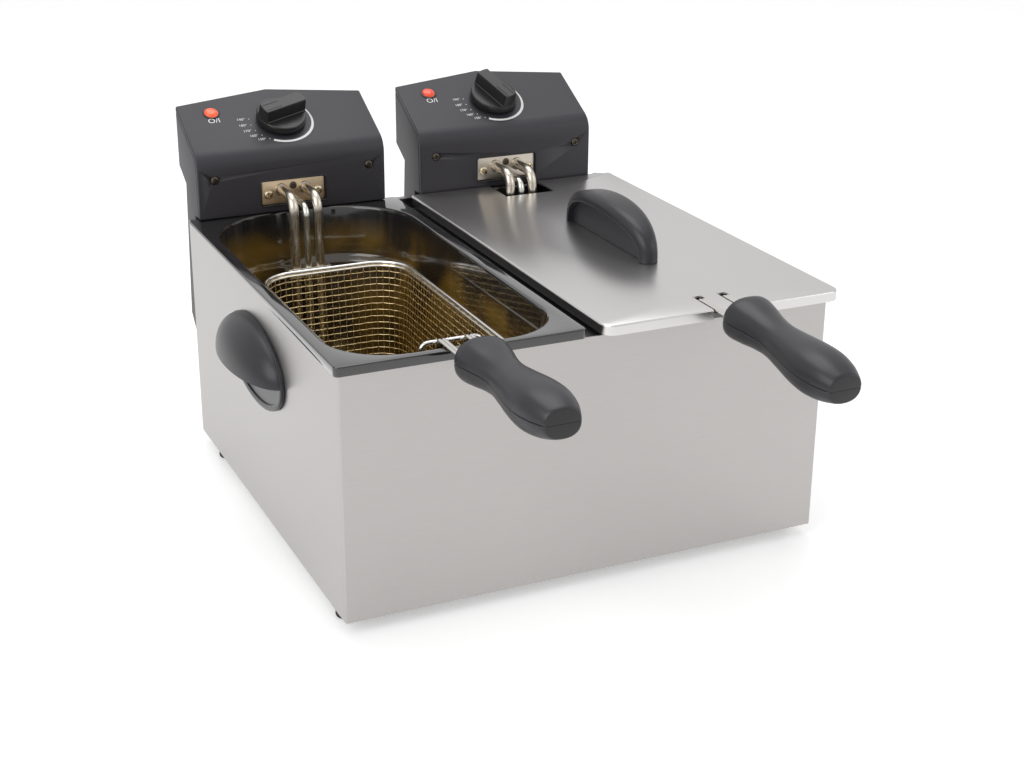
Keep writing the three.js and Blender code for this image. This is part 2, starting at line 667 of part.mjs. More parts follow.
// The rotary thermostat under the sloping top. Its shaft passes through the top into the knob.
function thermostatBody() {
  const top = -head.skin - thermostat.gap;
  return join(
    bar(thermostat.radius, thermostat.depth, new THREE.Vector3(0, 0, top - thermostat.depth), alongZ,
      24),
    bar(shaft.radius, shaft.rise - top, new THREE.Vector3(0, 0, top), alongZ, 16));
}

function lampLens() {
  const profile = [[0, -lamp.depth], [lamp.radius, -lamp.depth], [lamp.radius, restGap],
    [lamp.radius + lamp.flange, restGap],
    [lamp.radius + lamp.flange - 0.5, restGap + lamp.rise * 0.6],
    [lamp.radius * 0.6, restGap + lamp.rise * 1.3], [0, restGap + lamp.rise * 1.6]];
  const geometry = new THREE.LatheGeometry(profile.map(([r, z]) => new THREE.Vector2(r, z)), 20);
  geometry.rotateX(Math.PI / 2);
  return solid(geometry);
}

// The knob: a round skirt with a raised grip bar across it, bored for the shaft.
function knobBody() {
  const { baseRadius, baseHeight, bevel, barWidth, barHeight, seat } = knob;
  const profile = [[0, seat], [baseRadius, seat], [baseRadius, baseHeight * 0.55],
    [baseRadius - bevel, baseHeight], [0, baseHeight]];
  const skirt = new THREE.LatheGeometry(profile.map(([r, z]) => new THREE.Vector2(r, z)), 32);
  skirt.rotateX(Math.PI / 2);
  const reach = baseRadius - 0.5;
  const top = baseHeight + barHeight;
  const ridge = prismX([[-barWidth / 2 - 1, baseHeight - 1], [barWidth / 2 + 1, baseHeight - 1],
    [barWidth / 2 - 0.5, top], [-barWidth / 2 + 0.5, top]], -reach, reach);
  return join(solid(skirt), ridge)
    .subtract(bar(shaft.radius + restGap, shaft.rise + restGap, new THREE.Vector3(), alongZ));
}

function terminalBlock() {
  const y0 = boxInside;
  const z = headBottom + terminal.z;
  return block(-terminal.width / 2, terminal.width / 2, y0, y0 + terminal.depth,
    z - terminal.height / 2, z + terminal.height / 2);
}

function safetySwitch() {
  const y0 = boxFront + head.shellWall + restGap;
  const z = headBottom + microSwitch.z;
  const { x, width, depth, height } = microSwitch;
  return block(x - width / 2, x + width / 2, y0, y0 + depth, z - height / 2, z + height / 2);
}

// The bar on the back panel that the head's box slides down over.
function guideRail() {
  const y0 = housing.depth + restGap;
  const top = housing.top - rail.drop;
  return block(-rail.width / 2, rail.width / 2, y0, y0 + rail.thickness, top - rail.length, top);
}

// ---------------------------------------------------------------- basket

const basketBox = { half: opening.half - basket.sideGap, y0: opening.y0 + basket.frontGap,
  y1: opening.y1 - basket.rearGap };

function basketRing(shrink, z, segments = 6) {
  return roundedRing(basketBox.half - shrink, basketBox.y0 + shrink, basketBox.y1 - shrink, z,
    basket.corner - shrink, basket.corner - shrink, segments);
}

// The tub of the basket, open at the top.
function basketTub() {
  const { wall, draft, bottomRound } = basket;
  const top = basketTop - basket.rimWire - restGap;
  return skin([
    basketRing(draft + 2 * wall + bottomRound, basketBottom + wall),
    basketRing(draft + wall, basketBottom + wall + bottomRound),
    basketRing(wall, top), basketRing(0, top),
    basketRing(draft, basketBottom + bottomRound), basketRing(draft + bottomRound, basketBottom),
  ]);
}

// The heavy wire round the basket's mouth.
function basketRim() {
  const middle = basketRing(0, basketTop, 4);
  const centre = new THREE.Vector3(0, (basketBox.y0 + basketBox.y1) / 2, basketTop);
  const rings = middle.map((point, i) => {
    const before = middle[(i + middle.length - 1) % middle.length];
    const after = middle[(i + 1) % middle.length];
    const run = after.clone().sub(before).normalize();
    const out = new THREE.Vector3().crossVectors(run, alongZ);
    if (out.dot(point.clone().sub(centre)) < 0) {
      out.negate();
    }
    return Array.from({ length: 6 }, (_, k) => {
      const turn = Math.PI * 2 * k / 6;
      return point.clone().addScaledVector(out, basket.rimWire * Math.cos(turn))
        .addScaledVector(alongZ, basket.rimWire * Math.sin(turn));
    });
  });
  return skin(rings, true);
}

const wireY = basketBox.y0 - wire.behindRim;

// A pair of hairpins, tied by a cross wire at the foot. They run level over the bowl's rim, drop in
// front of the basket and hook it there.
function handleWires(side) {
  const tilt = THREE.MathUtils.degToRad(side.gripTilt);
  const collar = -gripStart(side);
  const end = [collar - wire.into * Math.cos(tilt), wireHeight + wire.into * Math.sin(tilt)];
  const wireFoot = basketTop - wire.drop;
  const hairpin = (sign) => {
    const x = sign * wire.spacing / 2;
    const rods = [-0.5, 0.5].map((k) => [[x + k * wire.pair, ...end],
      [x + k * wire.pair, collar, wireHeight], [x + k * wire.pair, wireY, wireHeight],
      [x + k * wire.pair, wireY, wireFoot]]);
    return join(...rods.map((points) => tube(points, wire.bend, wire.radius, 6, 9)));
  };
  const reach = wire.spacing / 2 + wire.pair;
  const cross = bar(wire.crossRadius, 2 * reach, new THREE.Vector3(-reach, wireY, wireFoot), alongX,
    8);
  const inner = reach - wire.radius;
  const ends = bar(wire.crossRadius, 2 * inner, new THREE.Vector3(-inner, end[0] + 1, end[1]), alongX,
    8);
  return join(hairpin(-1), hairpin(1), cross, ends);
}

// The bracket on the basket's front: a wire frame that stands between the rim and the hairpins. The
// hairpins lean on its two ties.
function basketBracket() {
  const { half: x, radius, below, toe, tieRise } = bracket;
  const y = wireY + wire.radius + radius + restGap;
  const top = wireHeight - wire.radius - below;
  const low = basketTop - wire.drop - toe;
  const loop = tube([[-x, y, low], [-x, y, top], [x, y, top], [x, y, low]], wire.bend, radius, 6, 8);
  const feet = [-1, 1].map((sign) => tube([[sign * x, y, low], [sign * x, basketFrontAt(low), low]],
    radius, radius, 6, 6));
  const ties = [low, low + toe + tieRise].map((z) => bar(radius, 2 * x, new THREE.Vector3(-x, y, z),
    alongX, 8));
  return join(loop, ...feet, ...ties);
}

function basketFrontAt(z) {
  const share = (basketTop - z) / (basketTop - basketBottom);
  return basketBox.y0 + basket.draft * share - restGap;
}

// Sections of the grip from its collar to its tip: share of the length, half width, half height.
function gripSections() {
  const { collarHalf, collarHeight, neckHalf, neckHeight, bellyHalf, bellyHeight, tipHalf,
    tipHeight } = grip;
  return [
    [0, collarHalf - 1.5, collarHeight - 1.5], [0.03, collarHalf, collarHeight],
    [0.13, collarHalf - 1.5, collarHeight - 1], [0.24, neckHalf + 1.2, neckHeight + 0.8],
    [0.36, neckHalf, neckHeight], [0.5, neckHalf + 2.4, neckHeight + 1],
    [0.66, bellyHalf - 1.2, bellyHeight - 0.6], [0.8, bellyHalf, bellyHeight],
    [0.91, bellyHalf - 1.6, bellyHeight - 1.4], [0.97, tipHalf + 1.5, tipHeight + 1.5],
    [1, tipHalf, tipHeight],
  ];
}

// The grip is two mouldings that close round the wires, parted on a level plane. It is drawn with
// its collar at y = 0 and the wires' height at z = 0.
function gripHalf(sign) {
  const rings = gripSections()
    .map(([share, w, h]) => ovalRing(w, h, -share * grip.length, 0, 2.4, 20));
  const whole = skin(rings);
  const cut = sign > 0 ? block(-50, 50, -grip.length - 5, 5, grip.parting / 2, 50)
    : block(-50, 50, -grip.length - 5, 5, -50, -grip.parting / 2);
  const slotHalf = wire.spacing / 2 + wire.pair + wire.radius;
  const room = wire.crossRadius + restGap;
  const seat = block(-slotHalf, slotHalf, -wire.into - 3, 6, -room, room);
  return whole.intersect(cut).subtract(seat);
}

// ---------------------------------------------------------------- lid

// A pressed lid with a turned-down lip, two slots for the basket's wires that run out through the
// front, and a notch for the element's tubes.
function lidSheet() {
  const lidHalf = rimWidth / 2 + lid.overhang;
  const y0 = -rim.frontOverhang - lid.frontOverhang;
  const y1 = headFront - lid.rearGap;
  const bottom = rimTop + restGap;
  const top = bottom + lid.sheet;
  const ring = (shrink, z) => roundedRing(lidHalf - shrink, y0 + shrink, y1 - shrink, z,
    lid.corner - shrink, lid.rearCorner - shrink, 5);
  const pan = skin([ring(1.2, top), ring(0.3, top - 0.4), ring(0, top - 1.2), ring(0, top - lid.lip)])
    .subtract(skin([ring(lid.sheet, bottom), ring(lid.sheet, top - lid.lip - 1)]));
  const rearOpening = block(-lidHalf - 1, lidHalf + 1, y1 - lid.rearCorner - 1, y1 + 1,
    top - lid.lip - 1, bottom);
  const slots = [-1, 1].map((sign) => {
    const x = sign * wire.spacing / 2 - lid.offset;
    return block(x - lid.slotWidth / 2, x + lid.slotWidth / 2, y0 - 1,
      wireY + lid.slotWidth / 2 + runGap, 0, top + 1);
  });
  const notch = block(-lid.notchHalf, lid.notchHalf, tubeY - element.radius - lid.notchGap, y1 + 1,
    0, top + 1);
  return pan.subtract(join(rearOpening, notch, ...slots));
}

// The lid's handle: a broad arched rib over a thin web, standing on the lid.
function lidHandleBody() {
  const { front, length, height, width, rib, web } = lidHandle;
  const base = rimTop + 2 * restGap + lid.sheet;
  const arch = (shrink) => {
    const points = [];
    const a = length / 2 - shrink;
    const b = height - shrink;
    for (let i = 0; i <= 14; i += 1) {
      const angle = Math.PI * i / 14;
      points.push([front + length / 2 + a * Math.cos(angle), base + b * Math.sin(angle) ** 0.75]);
    }
    return points;
  };
  const band = [...arch(0), ...arch(rib).reverse()];
  const shell = prismX(band.reverse(), -width / 2, width / 2)
    .intersect(crownedBar(width, front - 2, front + length + 2, base + height));
  const middle = prismX(arch(rib / 2).reverse(), -web / 2, web / 2);
  return join(shell, middle);
}

// A bar along Y whose upper edges are rounded, used to soften a rib's top.
function crownedBar(width, y0, y1, top) {
  const radius = lidHandle.crown;
  const outline = [[-width / 2, top - 200], [width / 2, top - 200]];
  for (const sign of [1, -1]) {
    for (let i = 0; i <= 4; i += 1) {
      const angle = Math.PI / 2 * (sign > 0 ? i : 4 - i) / 4;
      outline.push([sign * (width / 2 - radius + radius * Math.cos(angle)),
        top - radius + radius * Math.sin(angle)]);
    }
  }
  const shape = new THREE.Shape(outline.map(([x, z]) => new THREE.Vector2(x, z)));
  const geometry = new THREE.ExtrudeGeometry(shape, { depth: y1 - y0, bevelEnabled: false });
  geometry.applyMatrix4(new THREE.Matrix4().makeBasis(alongX, alongZ, alongY.clone().negate()));
  geometry.translate(0, y1, 0);
  return solid(geometry);
}

// ---------------------------------------------------------------- assembly

function buildHousing(parent) {
  place(parent, 'housing_wrap', housingWrap(), brushedSteel);
  place(parent, 'back_panel', backPanel(), brushedSteel);
  place(parent, 'base_plate', basePlate(), paintedSteel);
  place(parent, 'centre_divider', centreDivider(), paintedSteel);
  for (const [name, x, y] of footPlaces()) {
    place(parent, name, footBody(), rubber).position.set(x, y, 0);
  }
  const handle = sideHandleBody();
  place(parent, 'side_handle_right', handle, softBlack);
  place(parent, 'side_handle_left', handle.mirror([1, 0, 0]), softBlack);
}

function buildHead(parent, side) {
  const { name } = side;
  const group = new THREE.Group();
  group.position.x = side.headOffset;
  parent.add(group);
  place(group, `${name}_head_cover`, headCover(), casing);
  place(group, `${name}_head_shell`, headShell(), casing);
  place(group, `${name}_element_plate`, elementPlate(), nickel);
  place(group, `${name}_heating_element`, heatingElement(), nickel);
  place(group, `${name}_sensor_tube`, sensorTube(), nickel);
  place(group, `${name}_element_clamp`, elementClamp(), nickel);
  place(group, `${name}_terminal_block`, terminalBlock(), ceramic);
  place(group, `${name}_safety_switch`, safetySwitch(), softBlack);
  place(group, `${name}_cord_gland`, cordGland(), rubber);
  for (const [end, sign] of [['left', -1], ['right', 1]]) {
    place(group, `${name}_head_screw_${end}`, screwBody(), screwSteel)
      .position.set(sign * headScrew.x, headFront, headScrewZ);
  }
  const knobGroup = onPanel(knob.x, knob.along);
  const lampGroup = onPanel(lamp.x, lamp.along);
  group.add(knobGroup, lampGroup);
  place(knobGroup, `${name}_thermostat`, thermostatBody(), ceramic);
  place(knobGroup, `${name}_knob`, knobBody(), knobBlack).rotation.z =
    THREE.MathUtils.degToRad(side.knobAngle);
  place(lampGroup, `${name}_lamp_lens`, lampLens(), redLens);
}

function buildBasket(parent, side) {
  const { name } = side;
  place(parent, `${name}_basket`, basketTub(), gilt);
  place(parent, `${name}_basket_rim`, basketRim(), chrome);
  place(parent, `${name}_basket_bracket`, basketBracket(), chrome);
  place(parent, `${name}_handle_wires`, handleWires(side), chrome);
  const handle = new THREE.Group();
  handle.position.set(0, -gripStart(side), wireHeight);
  handle.rotation.x = -THREE.MathUtils.degToRad(side.gripTilt);
  parent.add(handle);
  place(handle, `${name}_grip_upper`, gripHalf(1), softBlack);
  place(handle, `${name}_grip_lower`, gripHalf(-1), softBlack);
}

function buildFryer(parent, side) {
  const group = new THREE.Group();
  group.position.x = side.sign * pitch / 2;
  parent.add(group);
  place(group, `${side.name}_guide_rail`, guideRail(), paintedSteel).position.x = side.headOffset;
  place(group, `${side.name}_bowl`, bowlBody(), enamel);
  buildHead(group, side);
  buildBasket(group, side);
  if (side.lidOn) {
    const lidGroup = new THREE.Group();
    lidGroup.position.x = lid.offset;
    group.add(lidGroup);
    place(lidGroup, `${side.name}_lid`, lidSheet(), brushedSteel);
    place(lidGroup, `${side.name}_lid_handle`, lidHandleBody(), softBlack);
  }
}

const fryer = new THREE.Group();
fryer.position.y = (frontReach - rearReach) / 2;
buildHousing(fryer);
sides.forEach((side) => buildFryer(fryer, side));

export default fryer;
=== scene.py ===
"""Looks of a double deep fryer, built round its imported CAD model.

Each operator makes one piece or one group of like pieces. Shapes are drawn in millimetres, with
y = 0 on the housing's front face and z = 0 on the floor, and are then put in place in metres.
"""
import json
import math

import bmesh
import bpy
from bpy.props import (BoolProperty, FloatProperty, FloatVectorProperty, IntProperty,
                       PointerProperty)
from mathutils import Matrix, Vector


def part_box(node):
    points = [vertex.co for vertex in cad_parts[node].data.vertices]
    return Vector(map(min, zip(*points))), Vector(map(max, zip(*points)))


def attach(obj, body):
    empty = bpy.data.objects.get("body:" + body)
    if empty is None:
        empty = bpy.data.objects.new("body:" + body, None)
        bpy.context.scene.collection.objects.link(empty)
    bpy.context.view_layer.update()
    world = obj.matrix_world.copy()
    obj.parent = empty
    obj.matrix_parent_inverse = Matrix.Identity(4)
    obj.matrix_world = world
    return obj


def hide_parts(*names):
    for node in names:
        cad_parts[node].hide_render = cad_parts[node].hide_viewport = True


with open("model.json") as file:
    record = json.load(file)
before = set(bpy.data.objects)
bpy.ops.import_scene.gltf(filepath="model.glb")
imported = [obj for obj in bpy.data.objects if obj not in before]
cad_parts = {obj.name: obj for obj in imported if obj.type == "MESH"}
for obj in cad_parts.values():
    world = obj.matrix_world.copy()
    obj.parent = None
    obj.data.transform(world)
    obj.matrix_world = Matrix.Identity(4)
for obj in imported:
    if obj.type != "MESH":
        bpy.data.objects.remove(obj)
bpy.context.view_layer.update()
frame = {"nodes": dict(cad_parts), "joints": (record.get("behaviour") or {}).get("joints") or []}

bl_info = {
    "name": "Double deep fryer",
    "version": (1, 0, 0),
    "blender": (4, 5, 0),
    "location": "3D View > Sidebar > Fryer",
    "description": "Builds the visible pieces of a double deep fryer round its CAD model",
    "category": "Object",
}

MM = 0.001
SIDES = ("left", "right")
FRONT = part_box("housing_wrap")[0].y
TAU = 2 * math.pi
DIAL_END = 65.0         # where a fully turned knob points, in degrees
DIAL_RADIUS = 26.1      # of the printed arc and dots
BASKET_CORNER = 28      # radius in the plan of a basket's mouth
KNOB_RADIUS = 20.3
SAME = 1e-5             # two places nearer than this, in metres, are one place

# ------------------------------------------------------------------ settings


def length(name, description, default):
    """A length that a user can change, in metres."""
    return FloatProperty(name=name, description=description, default=default, min=0.0,
                         unit="LENGTH", precision=5)


def colour(name, description, default):
    """A colour that a user can change."""
    return FloatVectorProperty(name=name, description=description, default=default, size=3,
                               min=0.0, max=1.0, subtype="COLOR")


class FryerSizes(bpy.types.PropertyGroup):
    """Sizes of the visible details"""

    mesh_pitch: length("Mesh pitch", "Distance between the basket's woven wires", 0.0054)
    mesh_wire: length("Mesh wire", "Radius of a woven wire", 0.00042)
    weave: length("Weave depth", "How far a woven wire swings to each side", 0.00045)
    edge: length("Moulded edge", "Radius on the edges of the head casings", 0.0011)
    sheet_edge: length("Sheet bend", "Radius where the housing's front turns into its sides",
                       0.0016)
    lid_edge: length("Lid edge", "Radius where the lid's top turns into its lip", 0.0018)
    screw_head: length("Screw head", "Radius of the cross-head screws on the heads", 0.0033)
    plate_screw: length("Plate screw", "Radius of the cross-head screws on the plates", 0.0037)
    figures: length("Figure height", "Size of the dial's printed numbers", 0.0037)
    dot: length("Dial dot", "Radius of the printed dots", 0.00045)
    print_rise: length("Print thickness", "How far the print stands off the casing", 0.00008)
    corner_steps: IntProperty(name="Corner steps", description="Facets on a bowl's corner",
                              default=14, min=3)


class FryerColours(bpy.types.PropertyGroup):
    """Colours of the finishes"""

    steel: colour("Housing steel", "Brushed stainless sheet", (0.46, 0.445, 0.435))
    lid: colour("Lid steel", "Finely brushed lid", (0.66, 0.645, 0.64))
    enamel: colour("Enamel", "Glossy enamel of the bowls", (0.012, 0.011, 0.011))
    casing: colour("Casing", "Matt plastic of the heads", (0.026, 0.024, 0.030))
    soft: colour("Soft plastic", "Grips and handles", (0.017, 0.017, 0.021))
    recess: colour("Handle recess", "Lower half of the side handles", (0.12, 0.12, 0.125))
    knob: colour("Knob", "Satin plastic of the knobs", (0.012, 0.012, 0.013))
    nickel: colour("Nickel", "Heating elements and sensors", (0.62, 0.57, 0.49))
    # Painted reflection: the golden brown cast low on the bowls' walls stands in for a reflection,
    # painted into the enamel's colour.
    gold_reflection: colour("Oil film", "Golden brown cast low on the bowls' walls", (0.20, 0.115, 0.018))
    gilt: colour("Gilt", "Woven basket wire", (0.95, 0.70, 0.30))
    chrome: colour("Chrome", "Rims and handle wires", (0.76, 0.74, 0.71))
    lamp: colour("Lamp", "Pilot lamp", (0.72, 0.045, 0.01))
    figures: colour("Print", "Printed dial", (0.78, 0.78, 0.77))


class FryerStage(bpy.types.PropertyGroup):
    """Floor and light"""

    floor: length("Floor", "Side of the square floor", 9.0)
    key: FloatProperty(name="Key light", description="Power of the large lamp on the left",
                       default=15.0, min=0.0, unit="POWER")
    fill: FloatProperty(name="Fill light", description="Power of the lamp on the right",
                        default=4.5, min=0.0, unit="POWER")
    top: FloatProperty(name="Top light", description="Power of the lamp above",
                       default=12.5, min=0.0, unit="POWER")
    sky: FloatProperty(name="Ambient", description="Level of the even light all round",
                       default=0.68, min=0.0)
    floor_glow: FloatProperty(name="Floor brightness", default=0.40, min=0.0,
                              description="White added to the floor where the camera sees it")
    white: BoolProperty(name="White background", description="Show plain white behind the fryer",
                        default=True)


# ------------------------------------------------------------------ shader nodes


class Signal:
    """One output of a shader node, used in sums as a number is."""

    def __init__(self, graph, socket):
        self.graph, self.socket = graph, socket

    def maths(self, operation, first, second):
        return self.graph.node("ShaderNodeMath", {"operation": operation}, {0: first, 1: second})

    def __add__(self, other):
        return self.maths("ADD", self, other)

    def __radd__(self, other):
        return self.maths("ADD", other, self)

    def __sub__(self, other):
        return self.maths("SUBTRACT", self, other)

    def __rsub__(self, other):
        return self.maths("SUBTRACT", other, self)

    def __mul__(self, other):
        return self.maths("MULTIPLY", self, other)

    def __rmul__(self, other):
        return self.maths("MULTIPLY", other, self)


class Graph:
    """The nodes of one material, or of the world."""

    def __init__(self, name, holder=None):
        self.holder = holder or bpy.data.materials.new(name)
        self.holder.use_nodes = True
        self.tree = self.holder.node_tree
        self.tree.nodes.clear()

    def feed(self, socket, value):
        if isinstance(value, Signal):
            self.tree.links.new(value.socket, socket)
        elif socket.type == "RGBA" and len(value) == 3:
            socket.default_value = (*value, 1.0)
        else:
            socket.default_value = value

    def node(self, kind, settings=None, sockets=None, out=0):
        """Any node: its settings first, then the values or links of its sockets."""
        made = self.tree.nodes.new(kind)
        for key, value in (settings or {}).items():
            if key == "stops":
                for stop, (position, tone) in zip(made.color_ramp.elements, value):
                    stop.position, stop.color = position, (*(tone,) * 3, 1.0)
            else:
                setattr(made, key, value)
        for key, value in (sockets or {}).items():
            self.feed(made.inputs[key], value)
        return Signal(self, made.outputs[out]) if made.outputs else None

    def mix(self, factor, first, second):
        """A colour between two others."""
        return self.node("ShaderNodeMix", {"data_type": "RGBA"}, {0: factor, 6: first, 7: second},
                         out=2)

    def noise(self, place, scale, detail=3.0, rough=0.5):
        return self.node("ShaderNodeTexNoise", {"noise_dimensions": "3D"},
                         {"Vector": place, "Scale": scale, "Detail": detail, "Roughness": rough})

    def shader(self, sockets):
        return self.node("ShaderNodeBsdfPrincipled", None, sockets)

    def seen(self):
        """One where the camera, a reflection or a clear material looks, else nought."""
        path = self.tree.nodes.new("ShaderNodeLightPath")
        rays = [Signal(self, path.outputs[name]) for name in
                ("Is Camera Ray", "Is Glossy Ray", "Is Transmission Ray")]
        return self.node("ShaderNodeMath", {"operation": "MINIMUM"},
                         {0: rays[0] + rays[1] + rays[2], 1: 1.0})

    def finish(self, shader, output="ShaderNodeOutputMaterial"):
        self.node(output, None, {"Surface": shader})
        return self.holder


def tinted(tone, share):
    return tuple(min(1.0, c * share) for c in tone)


def grained(name, tone, rough, metal=0.0, grain=1200.0, stretch=(1.0, 1.0, 1.0), vary=0.06,
            spread=0.08, strength=0.1, depth=0.0001, broad=11.0, second=None):
    """A finish with a fine grain that changes its colour, roughness and relief a little."""
    graph = Graph(name)
    place = graph.node("ShaderNodeTexCoord", out=3)
    lined = graph.node("ShaderNodeMapping", None, {"Vector": place, "Scale": stretch})
    fine = graph.noise(lined, grain, 4.0, 0.6)
    cloud = graph.noise(place, broad, 2.0)
    blend = fine * 0.65 + cloud * 0.35
    shade = graph.mix(blend, tinted(tone, 1 - 2 * vary), tinted(second or tone, 1 + 2 * vary))
    bump = graph.node("ShaderNodeBump", None, {"Strength": strength, "Distance": depth,
                                               "Height": fine})
    uneven = (fine - 0.5) * spread + (cloud - 0.5) * spread
    return graph.finish(graph.shader({"Base Color": shade, "Roughness": uneven + rough,
                                      "Metallic": metal, "Normal": bump}))


def enamel_finish(name, tone, reflection_tone):
    """Black enamel with a golden reflection painted into its colour, in cloudy patches low on the
    walls inside.
    """
    graph = Graph(name)
    place = graph.node("ShaderNodeTexCoord", out=3)
    height = graph.node("ShaderNodeSeparateXYZ", None, {0: place}, out=2)
    # Painted reflection: below this height the enamel's colour turns golden brown, in cloudy
    # patches.
    low = graph.node("ShaderNodeMapRange", {"clamp": True},
                     {0: height, 1: 0.186, 2: 0.166, 3: 0.0, 4: 1.0})
    cloud = graph.noise(place, 14.0, 2.0)
    reflection_patch = graph.node("ShaderNodeMapRange", {"clamp": True, "interpolation_type": "SMOOTHSTEP"},
                       {0: cloud, 1: 0.42, 2: 0.62, 3: 0.08, 4: 0.8})
    peel = graph.noise(place, 230.0, 2.0)
    bump = graph.node("ShaderNodeBump", None, {"Strength": 0.05, "Distance": 0.0006,
                                               "Height": peel})
    return graph.finish(graph.shader({
        "Base Color": graph.mix(low * reflection_patch, tone, reflection_tone), "Roughness": (peel - 0.5) * 0.05 + 0.09,
        "Normal": bump, "Coat Weight": 1.0, "Coat Roughness": 0.04}))


def lamp_finish(name, tone, glow):
    """A moulded lens with faceted colour and glow, where the lamp behind it shows."""
    graph = Graph(name)
    place = graph.node("ShaderNodeTexCoord", out=3)
    facets = graph.node("ShaderNodeTexVoronoi", {"voronoi_dimensions": "3D"},
                        {"Vector": place, "Scale": 620.0})
    tone_now = graph.mix(facets, tinted(tone, 1.1), tinted(tone, 0.75))
    bump = graph.node("ShaderNodeBump", None, {"Strength": 0.35, "Distance": 0.0004,
                                               "Height": facets})
    glowing = graph.mix(facets, (1.0, 0.15, 0.03), (0.95, 0.03, 0.004))
    return graph.finish(graph.shader({
        "Base Color": tone_now, "Roughness": 0.16, "Normal": bump, "Emission Color": glowing,
        "Emission Strength": glow, "Coat Weight": 0.6, "Coat Roughness": 0.05}))


def grain(tone, rough, metal=0.0, **others):
    """One row of the table: a colour, or the name of one in the settings, then the rest."""
    return {"tone": tone, "rough": rough, "metal": metal, **others}


ACROSS = {"stretch": (0.03, 0.03, 1.0), "vary": 0.05, "spread": 0.12, "strength": 0.16,
          "depth": 0.00008, "broad": 4.0}
UP = {"grain": 1500.0, "stretch": (1.0, 1.0, 0.05), "vary": 0.05, "strength": 0.05,
      "depth": 0.00005, "broad": 30.0}
GRAINED = {
    "steel": grain("steel", 0.34, 1.0, grain=2600.0, **ACROSS),
    "back_steel": grain("steel", 0.38, 1.0, grain=2200.0, **ACROSS),
    "lid": grain("lid", 0.29, 1.0, grain=3000.0, stretch=(0.02, 1.0, 1.0), vary=0.025,
                 spread=0.05, strength=0.05, depth=0.00004, broad=3.0),
    "casing": grain("casing", 0.47, grain=1700.0, spread=0.10, strength=0.22, depth=0.00012),
    "soft": grain("soft", 0.36, grain=1500.0, spread=0.10, strength=0.12),
    "recess": grain("recess", 0.42, grain=1400.0),
    "knob": grain("knob", 0.33, grain=1300.0, strength=0.08),
    "painted": grain((0.02, 0.02, 0.022), 0.45, grain=900.0),
    "rubber": grain((0.014, 0.014, 0.015), 0.72, grain=800.0, strength=0.3),
    "nickel": grain("nickel", 0.25, 1.0, grain=420.0, stretch=(1.0, 1.0, 0.12), vary=0.08,
                    spread=0.14, strength=0.08, broad=40.0),
    "plate": grain((0.66, 0.60, 0.52), 0.33, 1.0, **UP),
    "warm_plate": grain((0.86, 0.60, 0.32), 0.33, 1.0, second=(0.70, 0.60, 0.47), **UP),
    "pearl": grain((0.72, 0.70, 0.62), 0.22, 1.0, grain=300.0, second=(0.70, 0.73, 0.70),
                   broad=60.0),
    "chrome": grain("chrome", 0.14, 1.0, grain=500.0, vary=0.04, strength=0.04),
    "gilt": grain("gilt", 0.24, 1.0, grain=260.0, vary=0.10, spread=0.12, strength=0.05,
                  second=(0.78, 0.66, 0.42), broad=45.0),
    "dark_screw": grain((0.10, 0.085, 0.065), 0.38, 1.0, grain=900.0),
    "screw": grain((0.72, 0.62, 0.46), 0.26, 1.0, grain=900.0),
    "ceramic": grain((0.70, 0.67, 0.58), 0.6, grain=500.0),
    "print": grain("figures", 0.5, grain=900.0, vary=0.03),
}
LAMP_GLOW = {"lamp_lit": 0.95, "lamp_dim": 0.25}
FINISHES = {}


def finish_named(name):
    """The finishes, each made once when it is first used."""
    if name not in FINISHES:
        tones = bpy.context.scene.fryer_colours
        if name in GRAINED:
            row = dict(GRAINED[name])
            tone = row.pop("tone")
            FINISHES[name] = grained(name, getattr(tones, tone) if isinstance(tone, str) else tone,
                                     **row)
        elif name in LAMP_GLOW:
            FINISHES[name] = lamp_finish(name, tones.lamp, LAMP_GLOW[name])
        else:
            FINISHES[name] = enamel_finish(name, tones.enamel, tones.gold_reflection)
    return FINISHES[name]


# ------------------------------------------------------------------ drawing helpers


def scaled_at(x, y, z):
    """Puts a drawing in millimetres at a place in metres."""
    return Matrix.Translation((x, y, z)) @ Matrix.Scale(MM, 4)


def drawing(x):
    """Puts a drawing of the whole fryer at x metres across it."""
    return scaled_at(x, FRONT, 0.0)


class Extent:
    """A CAD node's box in the drawing's millimetres."""

    def __init__(self, node):
        low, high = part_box(node)
        self.x0, self.x1 = low.x / MM, high.x / MM
        self.y0, self.y1 = (low.y - FRONT) / MM, (high.y - FRONT) / MM
        self.z0, self.z1 = low.z / MM, high.z / MM
        self.half = (high.x - low.x) / 2 / MM


def middle_x(node):
    low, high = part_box(node)
    return (low.x + high.x) / 2


def knob_joint(side):
    return next(j for j in frame["joints"] if j["name"] == f"{side}_knob_turn")


def panel(side):
    """A drawing plane on the sloping top of a head, with the knob's axis as its z."""
    joint = knob_joint(side)
    up = Vector(joint["axis"]).normalized()
    across = Vector((1.0, 0.0, 0.0))
    back = up.cross(across)
    turn = Matrix((across, back, up)).transposed().to_4x4()
    return Matrix.Translation(joint["pos_m"]) @ turn @ Matrix.Scale(MM, 4)


def knob_angle(side):
    """Where the knob points at rest, which is its far limit short of the dial's end."""
    return math.radians(DIAL_END - knob_joint(side)["range_deg"][1])


